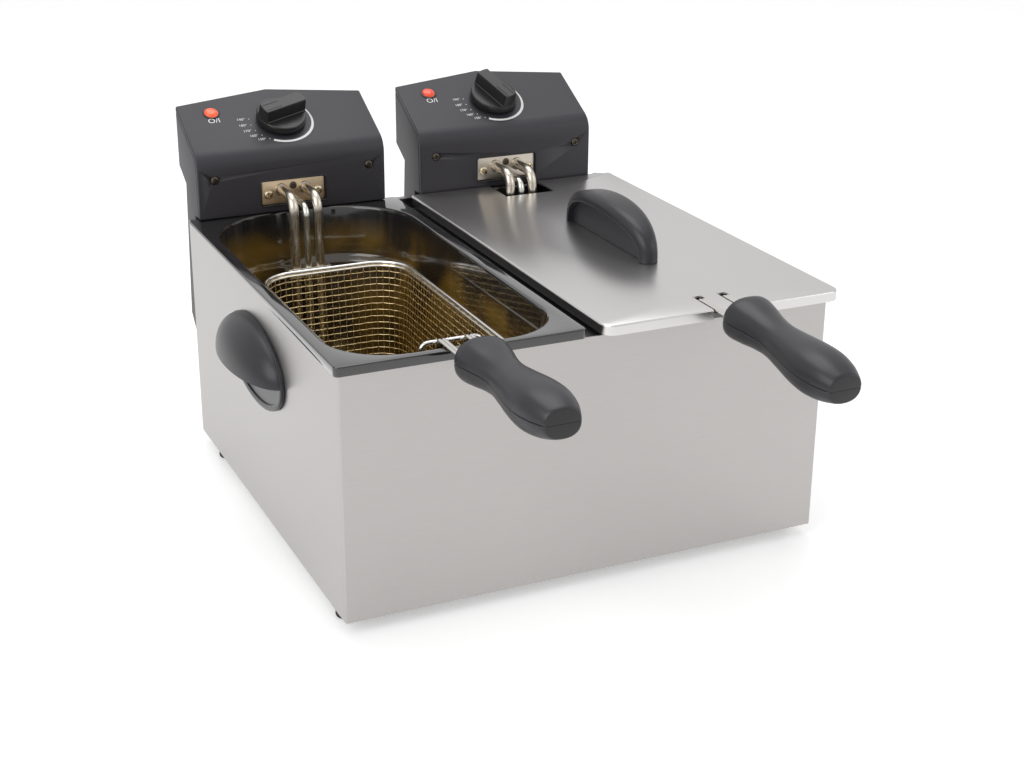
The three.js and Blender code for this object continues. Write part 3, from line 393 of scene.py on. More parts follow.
class Shape:
    """Points and faces that grow piece by piece and end as one mesh object."""

    def __init__(self):
        self.points, self.faces, self.paints = [], [], []

    def add(self, points, faces):
        base = len(self.points)
        self.points += [Vector(p) for p in points]
        self.faces += [[base + i for i in face] for face in faces]
        self.paints += [0] * len(faces)
        return self

    def skin(self, rings, loop=False):
        """Faces between rings of equally many points, with a cap on each open end."""
        count = len(rings[0])
        points = [p for ring in rings for p in ring]
        spans = len(rings) if loop else len(rings) - 1
        faces = []
        for r in range(spans):
            a, b = r * count, ((r + 1) % len(rings)) * count
            faces += [[a + i, a + (i + 1) % count, b + (i + 1) % count, b + i]
                      for i in range(count)]
        if not loop:
            last = (len(rings) - 1) * count
            faces += [list(range(count))[::-1], [last + i for i in range(count)]]
        return self.add(points, faces)

    def lathe(self, profile, steps=40, turn=Matrix(), loop=False):
        """A profile of (radius, height) pairs turned about z: a solid, or a ring if it loops."""
        return self.skin([[turn @ Vector((r * math.cos(TAU * i / steps),
                                          r * math.sin(TAU * i / steps), z))
                           for i in range(steps)] for r, z in profile], loop)

    def rod(self, points, radius, sides=14, closed=False):
        """A round wire along points."""
        return self.skin(tube_rings(points, radius, sides, closed), closed)

    def build(self, name, place, finishes, sharp=38.0):
        mesh = bpy.data.meshes.new(name)
        mesh.from_pydata([place @ p for p in self.points], [], self.faces)
        for finish in finishes:
            mesh.materials.append(finish_named(finish))
        mesh.polygons.foreach_set("material_index", self.paints)
        work = bmesh.new()
        work.from_mesh(mesh)
        bmesh.ops.remove_doubles(work, verts=work.verts, dist=1e-6)
        bmesh.ops.recalc_face_normals(work, faces=work.faces)
        work.to_mesh(mesh)
        work.free()
        return smooth_object(name, mesh, sharp)


def placed(name, data):
    """A new object in the scene."""
    made = bpy.data.objects.new(name, data)
    bpy.context.scene.collection.objects.link(made)
    return made


def smooth_object(name, mesh, sharp=38.0):
    """A mesh with smooth faces, apart from edges sharper than an angle in degrees."""
    mesh.shade_smooth()
    mesh.set_sharp_from_angle(angle=math.radians(sharp))
    return placed(name, mesh)


def settle(piece, body, slot, *nodes):
    """Says which body a piece rides on and the CAD nodes it stands for; its finish slot is not
    used.
    """
    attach(piece, body)
    if nodes:
        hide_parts(*nodes)
    return piece


def dress(node, finish):
    """Gives a CAD node a better finish."""
    mesh_object = frame["nodes"][node]
    if not mesh_object.material_slots:
        mesh_object.data.materials.append(None)
    for place in mesh_object.material_slots:
        place.material = finish_named(finish)


def softened(name, node, finish, radius, chosen, steps=3, sharp=32.0):
    """A copy of a CAD node with rounded edges: chosen says which edges, from their two ends."""
    mesh = frame["nodes"][node].data.copy()
    mesh.name = name
    mesh.materials.clear()
    mesh.materials.append(finish_named(finish))
    work = bmesh.new()
    work.from_mesh(mesh)
    bmesh.ops.remove_doubles(work, verts=work.verts, dist=2e-6)
    bmesh.ops.dissolve_limit(work, angle_limit=math.radians(0.4), verts=work.verts,
                             edges=work.edges)
    edges = [e for e in work.edges if len(e.link_faces) == 2
             and e.calc_face_angle_signed(0.0) > math.radians(35)
             and chosen(e.verts[0].co, e.verts[1].co)]
    if radius and edges:
        bmesh.ops.bevel(work, geom=edges, offset=radius, segments=steps, profile=0.5,
                        affect="EDGES", clamp_overlap=False)
    for face in work.faces:
        face.material_index = 0
    work.to_mesh(mesh)
    work.free()
    return smooth_object(name, mesh, sharp)


def apply_modifiers(piece):
    """Turns what the modifiers make into the piece's own mesh."""
    bpy.context.view_layer.update()
    evaluated = piece.evaluated_get(bpy.context.evaluated_depsgraph_get())
    mesh = bpy.data.meshes.new_from_object(evaluated)
    mesh.name = piece.name
    piece.modifiers.clear()
    piece.data = mesh
    return piece


def tube_rings(points, radius, sides, closed):
    """Rings round a line of points, with no twist from one to the next."""
    points = [Vector(p) for p in points]
    count = len(points)
    rings, normal = [], None
    for i, point in enumerate(points):
        before = points[i - 1] if i or closed else points[0]
        after = points[(i + 1) % count] if i < count - 1 or closed else points[-1]
        run = (after - before).normalized()
        if normal is None:
            normal = run.orthogonal().normalized()
            if closed:
                normal = run.cross(Vector((0, 0, 1))).normalized()
        normal = (normal - run * normal.dot(run)).normalized()
        other = run.cross(normal)
        rings.append([point + normal * (radius * math.cos(TAU * k / sides))
                      + other * (radius * math.sin(TAU * k / sides)) for k in range(sides)])
    return rings


def rounded_path(corners, bend, steps=8):
    """A line through corners, each turned through a smooth bend."""
    corners = [Vector(c) for c in corners]
    path = [corners[0]]
    for i in range(1, len(corners) - 1):
        back, ahead = corners[i - 1] - corners[i], corners[i + 1] - corners[i]
        cut = min(bend, back.length / 2.05, ahead.length / 2.05)
        enter = corners[i] + back.normalized() * cut
        leave = corners[i] + ahead.normalized() * cut
        for k in range(steps + 1):
            t = k / steps
            path.append(enter * (1 - t) ** 2 + corners[i] * (2 * t * (1 - t)) + leave * t ** 2)
    path.append(corners[-1])
    return path


def rounded_ring(half, y0, y1, z, front, rear, steps=14):
    """A level rectangle with one radius on its front corners and another on its rear ones."""
    ring = []
    for x, y, radius, start in ((half, y0, front, -90), (half, y1, rear, 0),
                                (-half, y1, rear, 90), (-half, y0, front, 180)):
        cx = x - math.copysign(radius, x)
        cy = y + radius if y == y0 else y - radius
        for i in range(steps + 1):
            angle = math.radians(start + 90 * i / steps)
            ring.append(Vector((cx + radius * math.cos(angle), cy + radius * math.sin(angle), z)))
    return ring


def upright_ring(half, z0, z1, y, radius, steps=6):
    """An upright rectangle with rounded corners, square to y."""
    return [Vector((p.x, y, p.y)) for p in rounded_ring(half, z0, z1, 0, radius, radius, steps)]


def arc(radius, start, end, steps):
    """Pairs (cosine, sine) times a radius, from one angle to another in degrees."""
    return [(radius * math.cos(math.radians(start + (end - start) * i / steps)),
             radius * math.sin(math.radians(start + (end - start) * i / steps)))
            for i in range(steps + 1)]


def smooth_table(rows, steps):
    """Values between the rows of a table, on a smooth curve through them. Rows start with t."""
    result = []
    for i in range(steps + 1):
        t = rows[0][0] + (rows[-1][0] - rows[0][0]) * i / steps
        k = max(j for j in range(len(rows) - 1) if rows[j][0] <= t + 1e-9)
        p0, p1, p2 = rows[max(k - 1, 0)], rows[k], rows[k + 1]
        p3 = rows[min(k + 2, len(rows) - 1)]
        u = (t - p1[0]) / (p2[0] - p1[0])
        values = [t]
        for c in range(1, len(p1)):
            span = p2[0] - p1[0]
            m1 = (p2[c] - p0[c]) / max(p2[0] - p0[0], 1e-9) * span
            m2 = (p3[c] - p1[c]) / max(p3[0] - p1[0], 1e-9) * span
            values.append((2 * u ** 3 - 3 * u ** 2 + 1) * p1[c] + (u ** 3 - 2 * u ** 2 + u) * m1
                          + (-2 * u ** 3 + 3 * u ** 2) * p2[c] + (u ** 3 - u ** 2) * m2)
        result.append(values)
    return result


# ------------------------------------------------------------------ geometry nodes


def node_group(name, inputs):
    """An empty geometry tree with named inputs, and its group input and output nodes."""
    tree = bpy.data.node_groups.new(name, "GeometryNodeTree")
    tree.interface.new_socket("Geometry", in_out="INPUT", socket_type="NodeSocketGeometry")
    for label, (kind, value) in inputs.items():
        made = tree.interface.new_socket(label, in_out="INPUT", socket_type=kind)
        if value is not None:
            made.default_value = value
    tree.interface.new_socket("Geometry", in_out="OUTPUT", socket_type="NodeSocketGeometry")
    return tree, tree.nodes.new("NodeGroupInput"), tree.nodes.new("NodeGroupOutput")


def tree_node(tree, kind, settings=None, sockets=None):
    """A geometry node with its settings, and its sockets' values or links."""
    made = tree.nodes.new(kind)
    for key, value in (settings or {}).items():
        setattr(made, key, value)
    for key, value in (sockets or {}).items():
        if isinstance(value, bpy.types.NodeSocket):
            tree.links.new(value, made.inputs[key])
        else:
            made.inputs[key].default_value = value
    return made


def run_tree(piece, tree, values):
    """Runs a tree on a piece with these inputs and keeps the result as a plain mesh."""
    modifier = piece.modifiers.new(tree.name, "NODES")
    modifier.node_group = tree
    for item in tree.interface.items_tree:
        if item.item_type == "SOCKET" and item.in_out == "INPUT" and item.name in values:
            modifier[item.identifier] = values[item.name]
    return apply_modifiers(piece)


def end_tree(tree, geometry, material, output):
    """Every tree ends in plain geometry with its material."""
    real = tree_node(tree, "GeometryNodeRealizeInstances", None, {"Geometry": geometry})
    painted = tree_node(tree, "GeometryNodeSetMaterial", None,
                        {"Geometry": real.outputs[0], "Material": material})
    tree.links.new(painted.outputs[0], output.inputs[0])


def weave_tree():
    """Lines become woven round wires: each point swings outwards by its weave value."""
    tree, given, result = node_group("woven wire", {
        "Wire radius": ("NodeSocketFloat", 0.0004), "Weave depth": ("NodeSocketFloat", 0.0004),
        "Sides": ("NodeSocketInt", 5), "Finish": ("NodeSocketMaterial", None)})
    swing = tree_node(tree, "GeometryNodeInputNamedAttribute", {"data_type": "FLOAT_VECTOR"},
                      {"Name": "swing"})
    offset = tree_node(tree, "ShaderNodeVectorMath", {"operation": "SCALE"},
                       {0: swing.outputs["Attribute"], "Scale": given.outputs["Weave depth"]})
    moved = tree_node(tree, "GeometryNodeSetPosition", None,
                      {"Geometry": given.outputs["Geometry"], "Offset": offset.outputs[0]})
    lines = tree_node(tree, "GeometryNodeMeshToCurve", None, {"Mesh": moved.outputs[0]})
    circle = tree_node(tree, "GeometryNodeCurvePrimitiveCircle", {"mode": "RADIUS"},
                       {"Resolution": given.outputs["Sides"],
                        "Radius": given.outputs["Wire radius"]})
    wires = tree_node(tree, "GeometryNodeCurveToMesh", None,
                      {"Curve": lines.outputs[0], "Profile Curve": circle.outputs[0],
                       "Fill Caps": True})
    smooth = tree_node(tree, "GeometryNodeSetShadeSmooth", None, {"Geometry": wires.outputs[0]})
    end_tree(tree, smooth.outputs[0], given.outputs["Finish"], result)
    return tree


def screw_tree():
    """A screw head on every point, turned to face along the point's aim."""
    tree, given, result = node_group("screws", {
        "Head": ("NodeSocketObject", None), "Size": ("NodeSocketFloat", 1.0),
        "Finish": ("NodeSocketMaterial", None)})
    head = tree_node(tree, "GeometryNodeObjectInfo", None, {"Object": given.outputs["Head"]})
    aim = tree_node(tree, "GeometryNodeInputNamedAttribute", {"data_type": "FLOAT_VECTOR"},
                    {"Name": "aim"})
    turned = tree_node(tree, "FunctionNodeAlignRotationToVector", {"axis": "Z"},
                       {"Vector": aim.outputs["Attribute"]})
    size = tree_node(tree, "ShaderNodeCombineXYZ", None, {i: given.outputs["Size"]
                                                          for i in range(3)})
    placed = tree_node(tree, "GeometryNodeInstanceOnPoints", None,
                       {"Points": given.outputs["Geometry"], "Instance": head.outputs["Geometry"],
                        "Rotation": turned.outputs[0], "Scale": size.outputs[0]})
    end_tree(tree, placed.outputs[0], given.outputs["Finish"], result)
    return tree


def marked_points(name, points, edges, attribute, vectors):
    """Points with a vector each, which a tree reads."""
    mesh = bpy.data.meshes.new(name)
    mesh.from_pydata(points, edges, [])
    layer = mesh.attributes.new(attribute, "FLOAT_VECTOR", "POINT")
    layer.data.foreach_set("vector", [c for v in vectors for c in v])
    return placed(name, mesh)


# ------------------------------------------------------------------ housing and handles


class EachSide:
    """An operator that makes its pieces once on the left and once on the right"""

    def execute(self, context):
        for side in SIDES:
            self.make(side, context.scene.fryer_sizes)
        return {"FINISHED"}


class FRYER_OT_housing(bpy.types.Operator):
    """Make the brushed housing with its rounded front corners, and finish the plain sheets"""

    bl_idname = "fryer.housing"
    bl_label = "Housing"

    def execute(self, context):
        low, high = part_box("housing_wrap")

        def corner(a, b):
            upright = abs(a.z - b.z) > 0.02 and abs(a.y - b.y) < SAME
            return upright and abs(a.y - low.y) < SAME and abs(abs(a.x) - high.x) < SAME

        wrap = softened("housing_sheet", "housing_wrap", "steel",
                        context.scene.fryer_sizes.sheet_edge, corner, 5)
        settle(wrap, "housing", "brushed_steel", "housing_wrap")
        dress("back_panel", "back_steel")
        for node in ("base_plate", "centre_divider", "left_guide_rail", "right_guide_rail"):
            dress(node, "painted")
        for place in ("front_left", "front_right", "rear_left", "rear_right"):
            self.foot(place)
        return {"FINISHED"}

    def foot(self, place):
        """A low rubber foot with a softly rounded sole."""
        node = f"foot_{place}"
        low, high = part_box(node)
        radius = Extent(node).half
        shape = Shape().lathe(
            [(radius - 2.4, 0), (radius - 1.4, 0.25), (radius - 0.5, 0.9), (radius, 2.0),
             (radius - 0.5, 8.6), (radius - 0.9, 9.5)], 36)
        centre = (low + high) / 2
        piece = shape.build(f"foot_pad_{place}", scaled_at(centre.x, centre.y, 0), ["rubber"])
        settle(piece, "housing", "rubber", node)


class FRYER_OT_side_handles(bpy.types.Operator):
    """Make the two side handles: an oval dish with a hood over its upper half"""

    bl_idname = "fryer.side_handles"
    bl_label = "Side handles"

    def execute(self, context):
        for side, sign in (("left", -1), ("right", 1)):
            self.handle(side, sign, f"side_handle_{side}")
        return {"FINISHED"}

    def handle(self, side, sign, node):
        low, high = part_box(node)
        middle = (low + high) / 2
        half_long = (high.y - middle.y) / MM
        half_high = (high.z - middle.z) / MM
        face, reach = sorted((abs(low.x) / MM, abs(high.x) / MM))
        out, steps = reach - face, 96

        def oval(margin, x):
            return [Vector((sign * x, (half_long - margin) * math.cos(TAU * i / steps),
                            (half_high - margin) * math.sin(TAU * i / steps)))
                    for i in range(steps)]

        shape = Shape()
        shape.skin([oval(m, face + x) for m, x in ((0.3, 0), (0, 0.6), (0, 2.0), (0.3, 2.7),
                                                   (1.0, 3.0), (4.2, 3.0), (4.8, 2.6),
                                                   (5.1, 1.4))])
        shape.paints[-1] = 1
        self.hood(shape, sign, face, half_long - 1, half_high, out)
        piece = shape.build(f"side_handle_moulding_{side}", scaled_at(0, middle.y, middle.z),
                            ["soft", "recess"], 40.0)
        settle(piece, "housing", "soft_black", node)

    def hood(self, shape, sign, face, half_long, half_high, out):
        """A quarter of an egg shell with a rolled lower lip."""
        wall, round_steps, rows = 2.6, 48, 20

        def sheet(shrink, floor):
            return [[Vector((sign * (face + max((out - shrink) * math.sin(v), floor)),
                             (half_long - shrink) * math.cos(u) * math.cos(v),
                             (half_high - shrink) * math.sin(u) * math.cos(v)))
                     for u in (math.pi * i / round_steps for i in range(round_steps + 1))]
                    for v in (math.pi / 2 * (j / rows) * 0.995 for j in range(rows + 1))]

        outer, inner = sheet(0, 0), sheet(wall, 1.2)
        lip = [[(outer[j][e] + inner[j][e]) / 2 + Vector((0, 0, -0.8)) for e in (0, -1)]
               for j in range(rows + 1)]
        rings = []
        for j in range(rows + 1):
            middle = [lip[j][1] * 0.5 + outer[j][-1] * 0.5, lip[j][1] * 0.5 + inner[j][-1] * 0.5]
            start = [lip[j][0] * 0.5 + inner[j][0] * 0.5, lip[j][0] * 0.5 + outer[j][0] * 0.5]
            rings.append(outer[j] + middle + inner[j][::-1] + start)
        shape.skin(rings)


# ------------------------------------------------------------------ bowls


class FRYER_OT_bowls(EachSide, bpy.types.Operator):
    """Make the two enamelled bowls with their flanges and turned-down lips"""

    bl_idname = "fryer.bowls"
    bl_label = "Bowls"

    def make(self, side, sizes):
        node, steps = f"{side}_bowl", sizes.corner_steps
        box = Extent(node)
        top = box.z1
        wall, edge, lip, band = 1.2, 2.6, 7.0, 10.0
        half, inner0, inner1 = box.half - band, box.y0 + 7.5, box.y1 - 7.0
        front_corner, rear_corner, least_corner, rim_corner = 45, 60, 8, 4
        floor, floor_bend, ledge = box.z0 + wall, 16, top - 42

        def at(shrink, z):
            return rounded_ring(half - shrink, inner0 + shrink, inner1 - shrink, z,
                                max(front_corner - shrink, least_corner),
                                max(rear_corner - shrink, least_corner), steps)

        def rim(shrink, z):
            corner = rim_corner - min(shrink, 3)
            ring = rounded_ring(box.half - shrink, box.y0 + shrink, box.y1 - shrink, z, corner,
                                corner, steps)
            for p in ring:
                if p.y > inner1 + wall:
                    p.z = max(p.z, top - wall)
            return ring

        inside = [(11 + floor_bend * (1 - math.sin(a)), floor + floor_bend * (1 - math.cos(a)))
                  for a in (math.pi / 2 * i / 7 for i in range(8))]
        inside += [(6.3, ledge - 4.5), (5.8, ledge - 3.2), (4.6, ledge - 1.8), (3.0, ledge - 0.6),
                   (2.1, ledge + 0.8), (1.7, ledge + 2.4), (0, top - edge)]
        rings = [at(*p) for p in inside]
        rings += [at(-edge + c, top - edge + s) for c, s in arc(edge, 30, 90, 4)]
        rings += [rim(wall - c, top - wall + s) for c, s in arc(wall, 90, 0, 5)]
        rings += [rim(0, top - lip + 0.5), rim(0.35, top - lip), rim(wall - 0.3, top - lip),
                  rim(wall, top - lip + 0.5), rim(wall, top - wall), at(-edge - wall, top - wall)]
        rings += [at(s - wall, z - (wall if i else 0.9))
                  for i, (s, z) in enumerate(reversed(inside))]
        piece = Shape().skin(rings).build(f"{side}_enamel_bowl", drawing(middle_x(node)),
                                          ["enamel"], 50.0)
        settle(piece, f"{side}_bowl_body", "black_enamel", node)


# ------------------------------------------------------------------ control heads


class FRYER_OT_heads(EachSide, bpy.types.Operator):
    """Make the two-part casings of the control heads and the frames round their plates"""

    bl_idname = "fryer.heads"
    bl_label = "Head casings"

    def make(self, side, sizes):
        body = f"{side}_head_body"
        for part, name in (("head_cover", "casing_front"), ("head_shell", "casing_rear")):
            node = f"{side}_{part}"
            low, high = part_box(node)
            half, centre = (high.x - low.x) / 2, (high.x + low.x) / 2

            def flank(a, b, half=half, centre=centre):
                return all(abs(abs(p.x - centre) - half) < SAME for p in (a, b))

            piece = softened(f"{side}_{name}", node, "casing", sizes.edge, flank, 4, 30.0)
            settle(piece, body, "head_plastic", node)
        self.bezel(side, body)
        for node in ("terminal_block", "thermostat"):
            dress(f"{side}_{node}", "ceramic")
        dress(f"{side}_safety_switch", "painted")
        self.gland(side, body)

    def bezel(self, side, body):
        """A slim raised frame round the plate's window."""
        plate, margin = Extent(f"{side}_element_plate"), 0.9
        line = upright_ring(plate.half + margin, plate.z0 - margin, plate.z1 + margin,
                            Extent(f"{side}_head_cover").y0 + 0.15, 2.2)
        shape = Shape().rod(line, 0.75, 10, closed=True)
        piece = shape.build(f"{side}_plate_frame", drawing(middle_x(f"{side}_head_cover")),
                            ["knob"])
        settle(piece, body, "head_plastic")

    def gland(self, side, body):
        """The ribbed rubber bush in the rear of the hanging box."""
        node = f"{side}_cord_gland"
        box, (low, high) = Extent(node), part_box(node)
        centre, depth, radius, bore = (low + high) / 2, box.y1 - box.y0, box.half, 3.7
        rings = [(bore, 0), (5.2, 0), (6.0, 0.6), (6.0, depth - 10.5),
                 (radius - 0.5, depth - 10.2), (radius, depth - 9.6), (radius, depth - 8.2),
                 (radius - 0.5, depth - 7.6)]
        for k in range(3):
            start = depth - 7.4 + k * 2.4
            rings += [(5.9, start), (5.9, start + 1.2), (5.0, start + 1.4), (5.0, start + 2.2)]
        rings += [(5.2, depth), (bore, depth)]
        shape = Shape().lathe(rings, 40, Matrix.Rotation(-math.pi / 2, 4, "X"), loop=True)
        piece = shape.build(f"{side}_cord_bush", scaled_at(centre.x, low.y, centre.z), ["rubber"])
        settle(piece, body, "rubber", node)


class FRYER_OT_elements(EachSide, bpy.types.Operator):
    """Make the plates, the heating elements, the sensor tubes and the straps across them"""

    bl_idname = "fryer.elements"
    bl_label = "Heating elements"

    def make(self, side, sizes):
        body = f"{side}_head_body"
        place = drawing(middle_x(f"{side}_head_cover"))
        head_front = Extent(f"{side}_head_cover").y0
        self.plate(side, body, place)
        self.element(side, body, place, head_front)
        self.sensor(side, body, place, head_front)
        self.strap(side, body)

    def plate(self, side, body, place):
        node = f"{side}_element_plate"
        box = Extent(node)
        middle, half_high = (box.z1 + box.z0) / 2, (box.z1 - box.z0) / 2
        front, back = box.y1 - 2, box.y1
        rings = [upright_ring(box.half - inset, middle - half_high + inset,
                              middle + half_high - inset, y, 1.6)
                 for inset, y in ((0.5, front), (0.12, front + 0.12), (0, front + 0.5), (0, back))]
        piece = Shape().skin(rings).build(f"{side}_plate", place,
                                          ["warm_plate" if side == "left" else "plate"], 30.0)
        settle(piece, body, "nickel", node)
        turn = Matrix.Translation((0, front, middle + 4.5)) @ Matrix.Rotation(math.pi / 2, 4, "X")
        rivet = Shape().lathe([(3.0, -0.2), (3.0, 0.35), (2.6, 0.85), (1.6, 1.15), (1.4, 0.8),
                               (0.6, 0.7)], 28, turn)
        settle(rivet.build(f"{side}_plate_rivet", place, ["dark_screw"], 30.0), body, "nickel")

    def element(self, side, body, place, head_front):
        """A rod down from the plate, round the bottom of the bowl and up again, with collars."""
        node = f"{side}_heating_element"
        box, strap = Extent(node), Extent(f"{side}_element_clamp")
        radius, bend = 4.0, 13
        x, tube_y = strap.half - 8, (strap.y0 + strap.y1) / 2
        z, floor = box.z1 - radius, box.z0 + radius
        wide, front, rear = box.half - radius, box.y0 + radius, head_front - 60
        inner, inner_rear = 16, rear - 30
        leg = [(x, head_front + 9.8, z), (x, tube_y, z), (x, tube_y, floor), (x, rear, floor),
               (wide, rear, floor), (wide, front, floor), (inner, front, floor),
               (inner, inner_rear, floor)]
        line = rounded_path([(-a, b, c) for a, b, c in leg] + leg[::-1], bend, 9)
        shape = Shape().rod(line, radius, 20)
        for sign in (-1, 1):
            turn = Matrix.Translation((sign * x, head_front + 1.6, z)) \
                @ Matrix.Rotation(math.pi / 2, 4, "X")
            shape.lathe([(3.9, 0), (5.2, 0), (5.2, 1.1), (4.9, 1.5), (4.1, 1.6)], 28, turn)
        piece = shape.build(f"{side}_element_rod", place, ["nickel"], 40.0)
        settle(piece, body, "nickel", node)

    def sensor(self, side, body, place, head_front):
        node = f"{side}_sensor_tube"
        box = Extent(node)
        z, tube_y = box.z1 - box.half, box.y0 + box.half
        line = rounded_path([(0, head_front + 9.5, z), (0, tube_y, z), (0, tube_y, box.z0 + 1.2)],
                            9, 10)
        shape = Shape().rod(line, 2.9, 16)
        piece = shape.build(f"{side}_sensor_rod", place, ["pearl"], 40.0)
        settle(piece, body, "nickel", node)

    def strap(self, side, body):
        node = f"{side}_element_clamp"
        low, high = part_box(node)

        def edge(a, b):
            return all(min(abs(p.y - low.y), abs(p.y - high.y), abs(p.x - low.x),
                           abs(p.x - high.x)) < SAME for p in (a, b))

        piece = softened(f"{side}_element_strap", node, "nickel", 0.0004, edge, 2, 30.0)
        settle(piece, body, "nickel", node)


class FRYER_OT_screws(bpy.types.Operator):
    """Make the cross-head screws in the casings and on the plates"""

    bl_idname = "fryer.screws"
    bl_label = "Screws"

    def execute(self, context):
        sizes = context.scene.fryer_sizes
        tree = screw_tree()
        head = self.screw_head()
        for side in SIDES:
            body = f"{side}_head_body"
            points, nodes = [], []
            for end in SIDES:
                node = f"{side}_head_screw_{end}"
                low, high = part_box(node)
                points.append(Vector(((low.x + high.x) / 2, low.y, (low.z + high.z) / 2)))
                nodes.append(node)
            self.place(f"{side}_casing_screws", points, tree, head, sizes.screw_head,
                       "dark_screw", body, "dark_screw", nodes)
            low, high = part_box(f"{side}_element_plate")
            middle = (low + high) / 2
            points = [Vector((middle.x + x * MM, high.y - 2.1 * MM, middle.z - 1.5 * MM))
                      for x in (-21, 21)]
            self.place(f"{side}_plate_screws", points, tree, head, sizes.plate_screw,
                       "screw", body, "nickel", [])
        bpy.data.objects.remove(head)
        return {"FINISHED"}

    def place(self, name, points, tree, head, radius, finish, body, slot, nodes):
        piece = marked_points(name, points, [], "aim", [(0, -1, 0)] * len(points))
        run_tree(piece, tree, {"Head": head, "Size": radius, "Finish": finish_named(finish)})
        piece.data.set_sharp_from_angle(angle=math.radians(32))
        settle(piece, body, slot, *nodes)

    def screw_head(self):
        """A domed head of radius one with a cross-shaped recess."""
        count, twist, tiny = 48, 0.35, 1e-6
        angles = [TAU * i / count + twist for i in range(count)]

        def ring(radius, z):
            return [Vector((radius * math.cos(a), radius * math.sin(a), z)) for a in angles]

        def cross(size, z):
            arm, slot = 0.62 * size, 0.15 * size
            points = []
            for a in angles:
                c, s = abs(math.cos(a - twist)), abs(math.sin(a - twist))
                reach = max(min(arm / max(c, tiny), slot / max(s, tiny)),
                            min(arm / max(s, tiny), slot / max(c, tiny)))
                points.append(Vector((reach * math.cos(a), reach * math.sin(a), z)))
            return points

        rings = [ring(0.96, -0.35), ring(1.0, 0.0), ring(0.97, 0.16), ring(0.86, 0.30),
                 ring(0.70, 0.38), cross(1.0, 0.40), cross(0.9, 0.30), cross(0.7, 0.02)]
        mesh = bpy.data.meshes.new("screw_head")
        shape = Shape().skin(rings)
        mesh.from_pydata(shape.points, [], shape.faces)
        mesh.shade_smooth()
        made = placed("screw_head", mesh)
        made.hide_render = True
        return made


class FRYER_OT_knobs(EachSide, bpy.types.Operator):
    """Make the thermostat knobs: a round skirt with a tall bar across it"""

    bl_idname = "fryer.knobs"
    bl_label = "Knobs"

    def make(self, side, sizes):
        turn = panel(side) @ Matrix.Rotation(knob_angle(side), 4, "Z")
        shape = Shape()
        radius = KNOB_RADIUS
        shape.lathe([(radius - 0.9, 0.8), (radius - 0.2, 1.1), (radius, 1.7), (radius, 6.6),
                     (radius - 0.3, 7.4), (radius - 1, 7.9), (radius - 1.7, 8.0), (12.0, 7.9),
                     (4.0, 7.9)], 72)
        rings = []
        for half_width, reach, z in ((7.4, 19.8, 6.8), (7.2, 19.8, 8.6), (6.7, 19.7, 9.0),
                                     (5.9, 19.5, 17.8), (5.7, 19.4, 18.6), (5.2, 18.9, 19.0)):
            rings.append(self.bar(half_width, reach, z))
        shape.skin(rings)
        for rail in (-1, 1):
            shape.skin([[p + Vector((0, rail * 3.2, 0)) for p in self.bar(0.28, 7.2, z, 10.6)]
                        for z in (18.6, 19.0, 19.25)])
        piece = shape.build(f"{side}_knob_moulding", turn, ["knob"], 24.0)
        settle(piece, f"{side}_knob_body", "knob_plastic", f"{side}_knob")

    def bar(self, half_width, reach, z, shift=0.0):
        """A level outline with straight sides and ends that follow the skirt."""
        side_x = math.sqrt(max(reach ** 2 - half_width ** 2, 0.1))
        turn = math.degrees(math.atan2(half_width, side_x))
        ends = arc(reach, -turn, turn, 10)
        return [Vector((x + shift, y, z)) for x, y in ends] \
            + [Vector((-x + shift, -y, z)) for x, y in ends]


class FRYER_OT_dials(EachSide, bpy.types.Operator):
    """Print the tapering arc, the dots and the temperatures round each knob"""

    bl_idname = "fryer.dials"
    bl_label = "Dial print"

    def make(self, side, sizes):
        shape, steps, rise = Shape(), 72, sizes.print_rise / MM
        rings = []
        for i in range(steps + 1):
            angle = math.radians(68 - 186.5 * i / steps)
            half = 0.15 + 0.95 * min(1.9 * i / steps, 1.0)
            rings.append([Vector((r * math.cos(angle), r * math.sin(angle), z)) for r, z in
                          ((DIAL_RADIUS - half, 0), (DIAL_RADIUS + half, 0),
                           (DIAL_RADIUS + half, rise), (DIAL_RADIUS - half, rise))])
        shape.skin(rings)
        marks = []
        for k, number in enumerate((150, 160, 170, 180, 190)):
            angle = math.radians(-126 - 16 * k)
            x, y = DIAL_RADIUS * math.cos(angle), DIAL_RADIUS * math.sin(angle)
            radius = sizes.dot / MM
            shape.lathe([(radius, 0), (radius, rise)], 14, Matrix.Translation((x, y, 0)))
            marks.append((f"{number}°", x - 6.6, y + 0.1, sizes.figures / MM))
        lens = panel(side).inverted() @ (sum(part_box(f"{side}_lamp_lens"), Vector()) / 2)
        marks.append(("O/I", lens.x, lens.y - 9.5, 7.6))
        piece = shape.build(f"{side}_dial_print", panel(side), ["print"], 30.0)
        self.add_text(piece, marks, panel(side), rise)
        settle(piece, f"{side}_head_body", "head_plastic")

    def add_text(self, piece, marks, place, rise):
        """Text becomes thin raised faces on the same mesh."""
        work = bmesh.new()
        work.from_mesh(piece.data)
        for text, x, y, size in marks:
            curve = bpy.data.curves.new("mark", "FONT")
            curve.body, curve.size = text, size
            curve.align_x, curve.align_y = "CENTER", "CENTER"
            curve.extrude, curve.resolution_u = rise / 2, 4
            holder = placed("mark", curve)
            bpy.context.view_layer.update()
            flat = bpy.data.meshes.new_from_object(
                holder.evaluated_get(bpy.context.evaluated_depsgraph_get()))
            flat.transform(place @ Matrix.Translation((x, y, rise / 2)))
            work.from_mesh(flat)
            bpy.data.objects.remove(holder)
            bpy.data.meshes.remove(flat)
        for face in work.faces:
            face.material_index = 0
        work.to_mesh(piece.data)
        work.free()


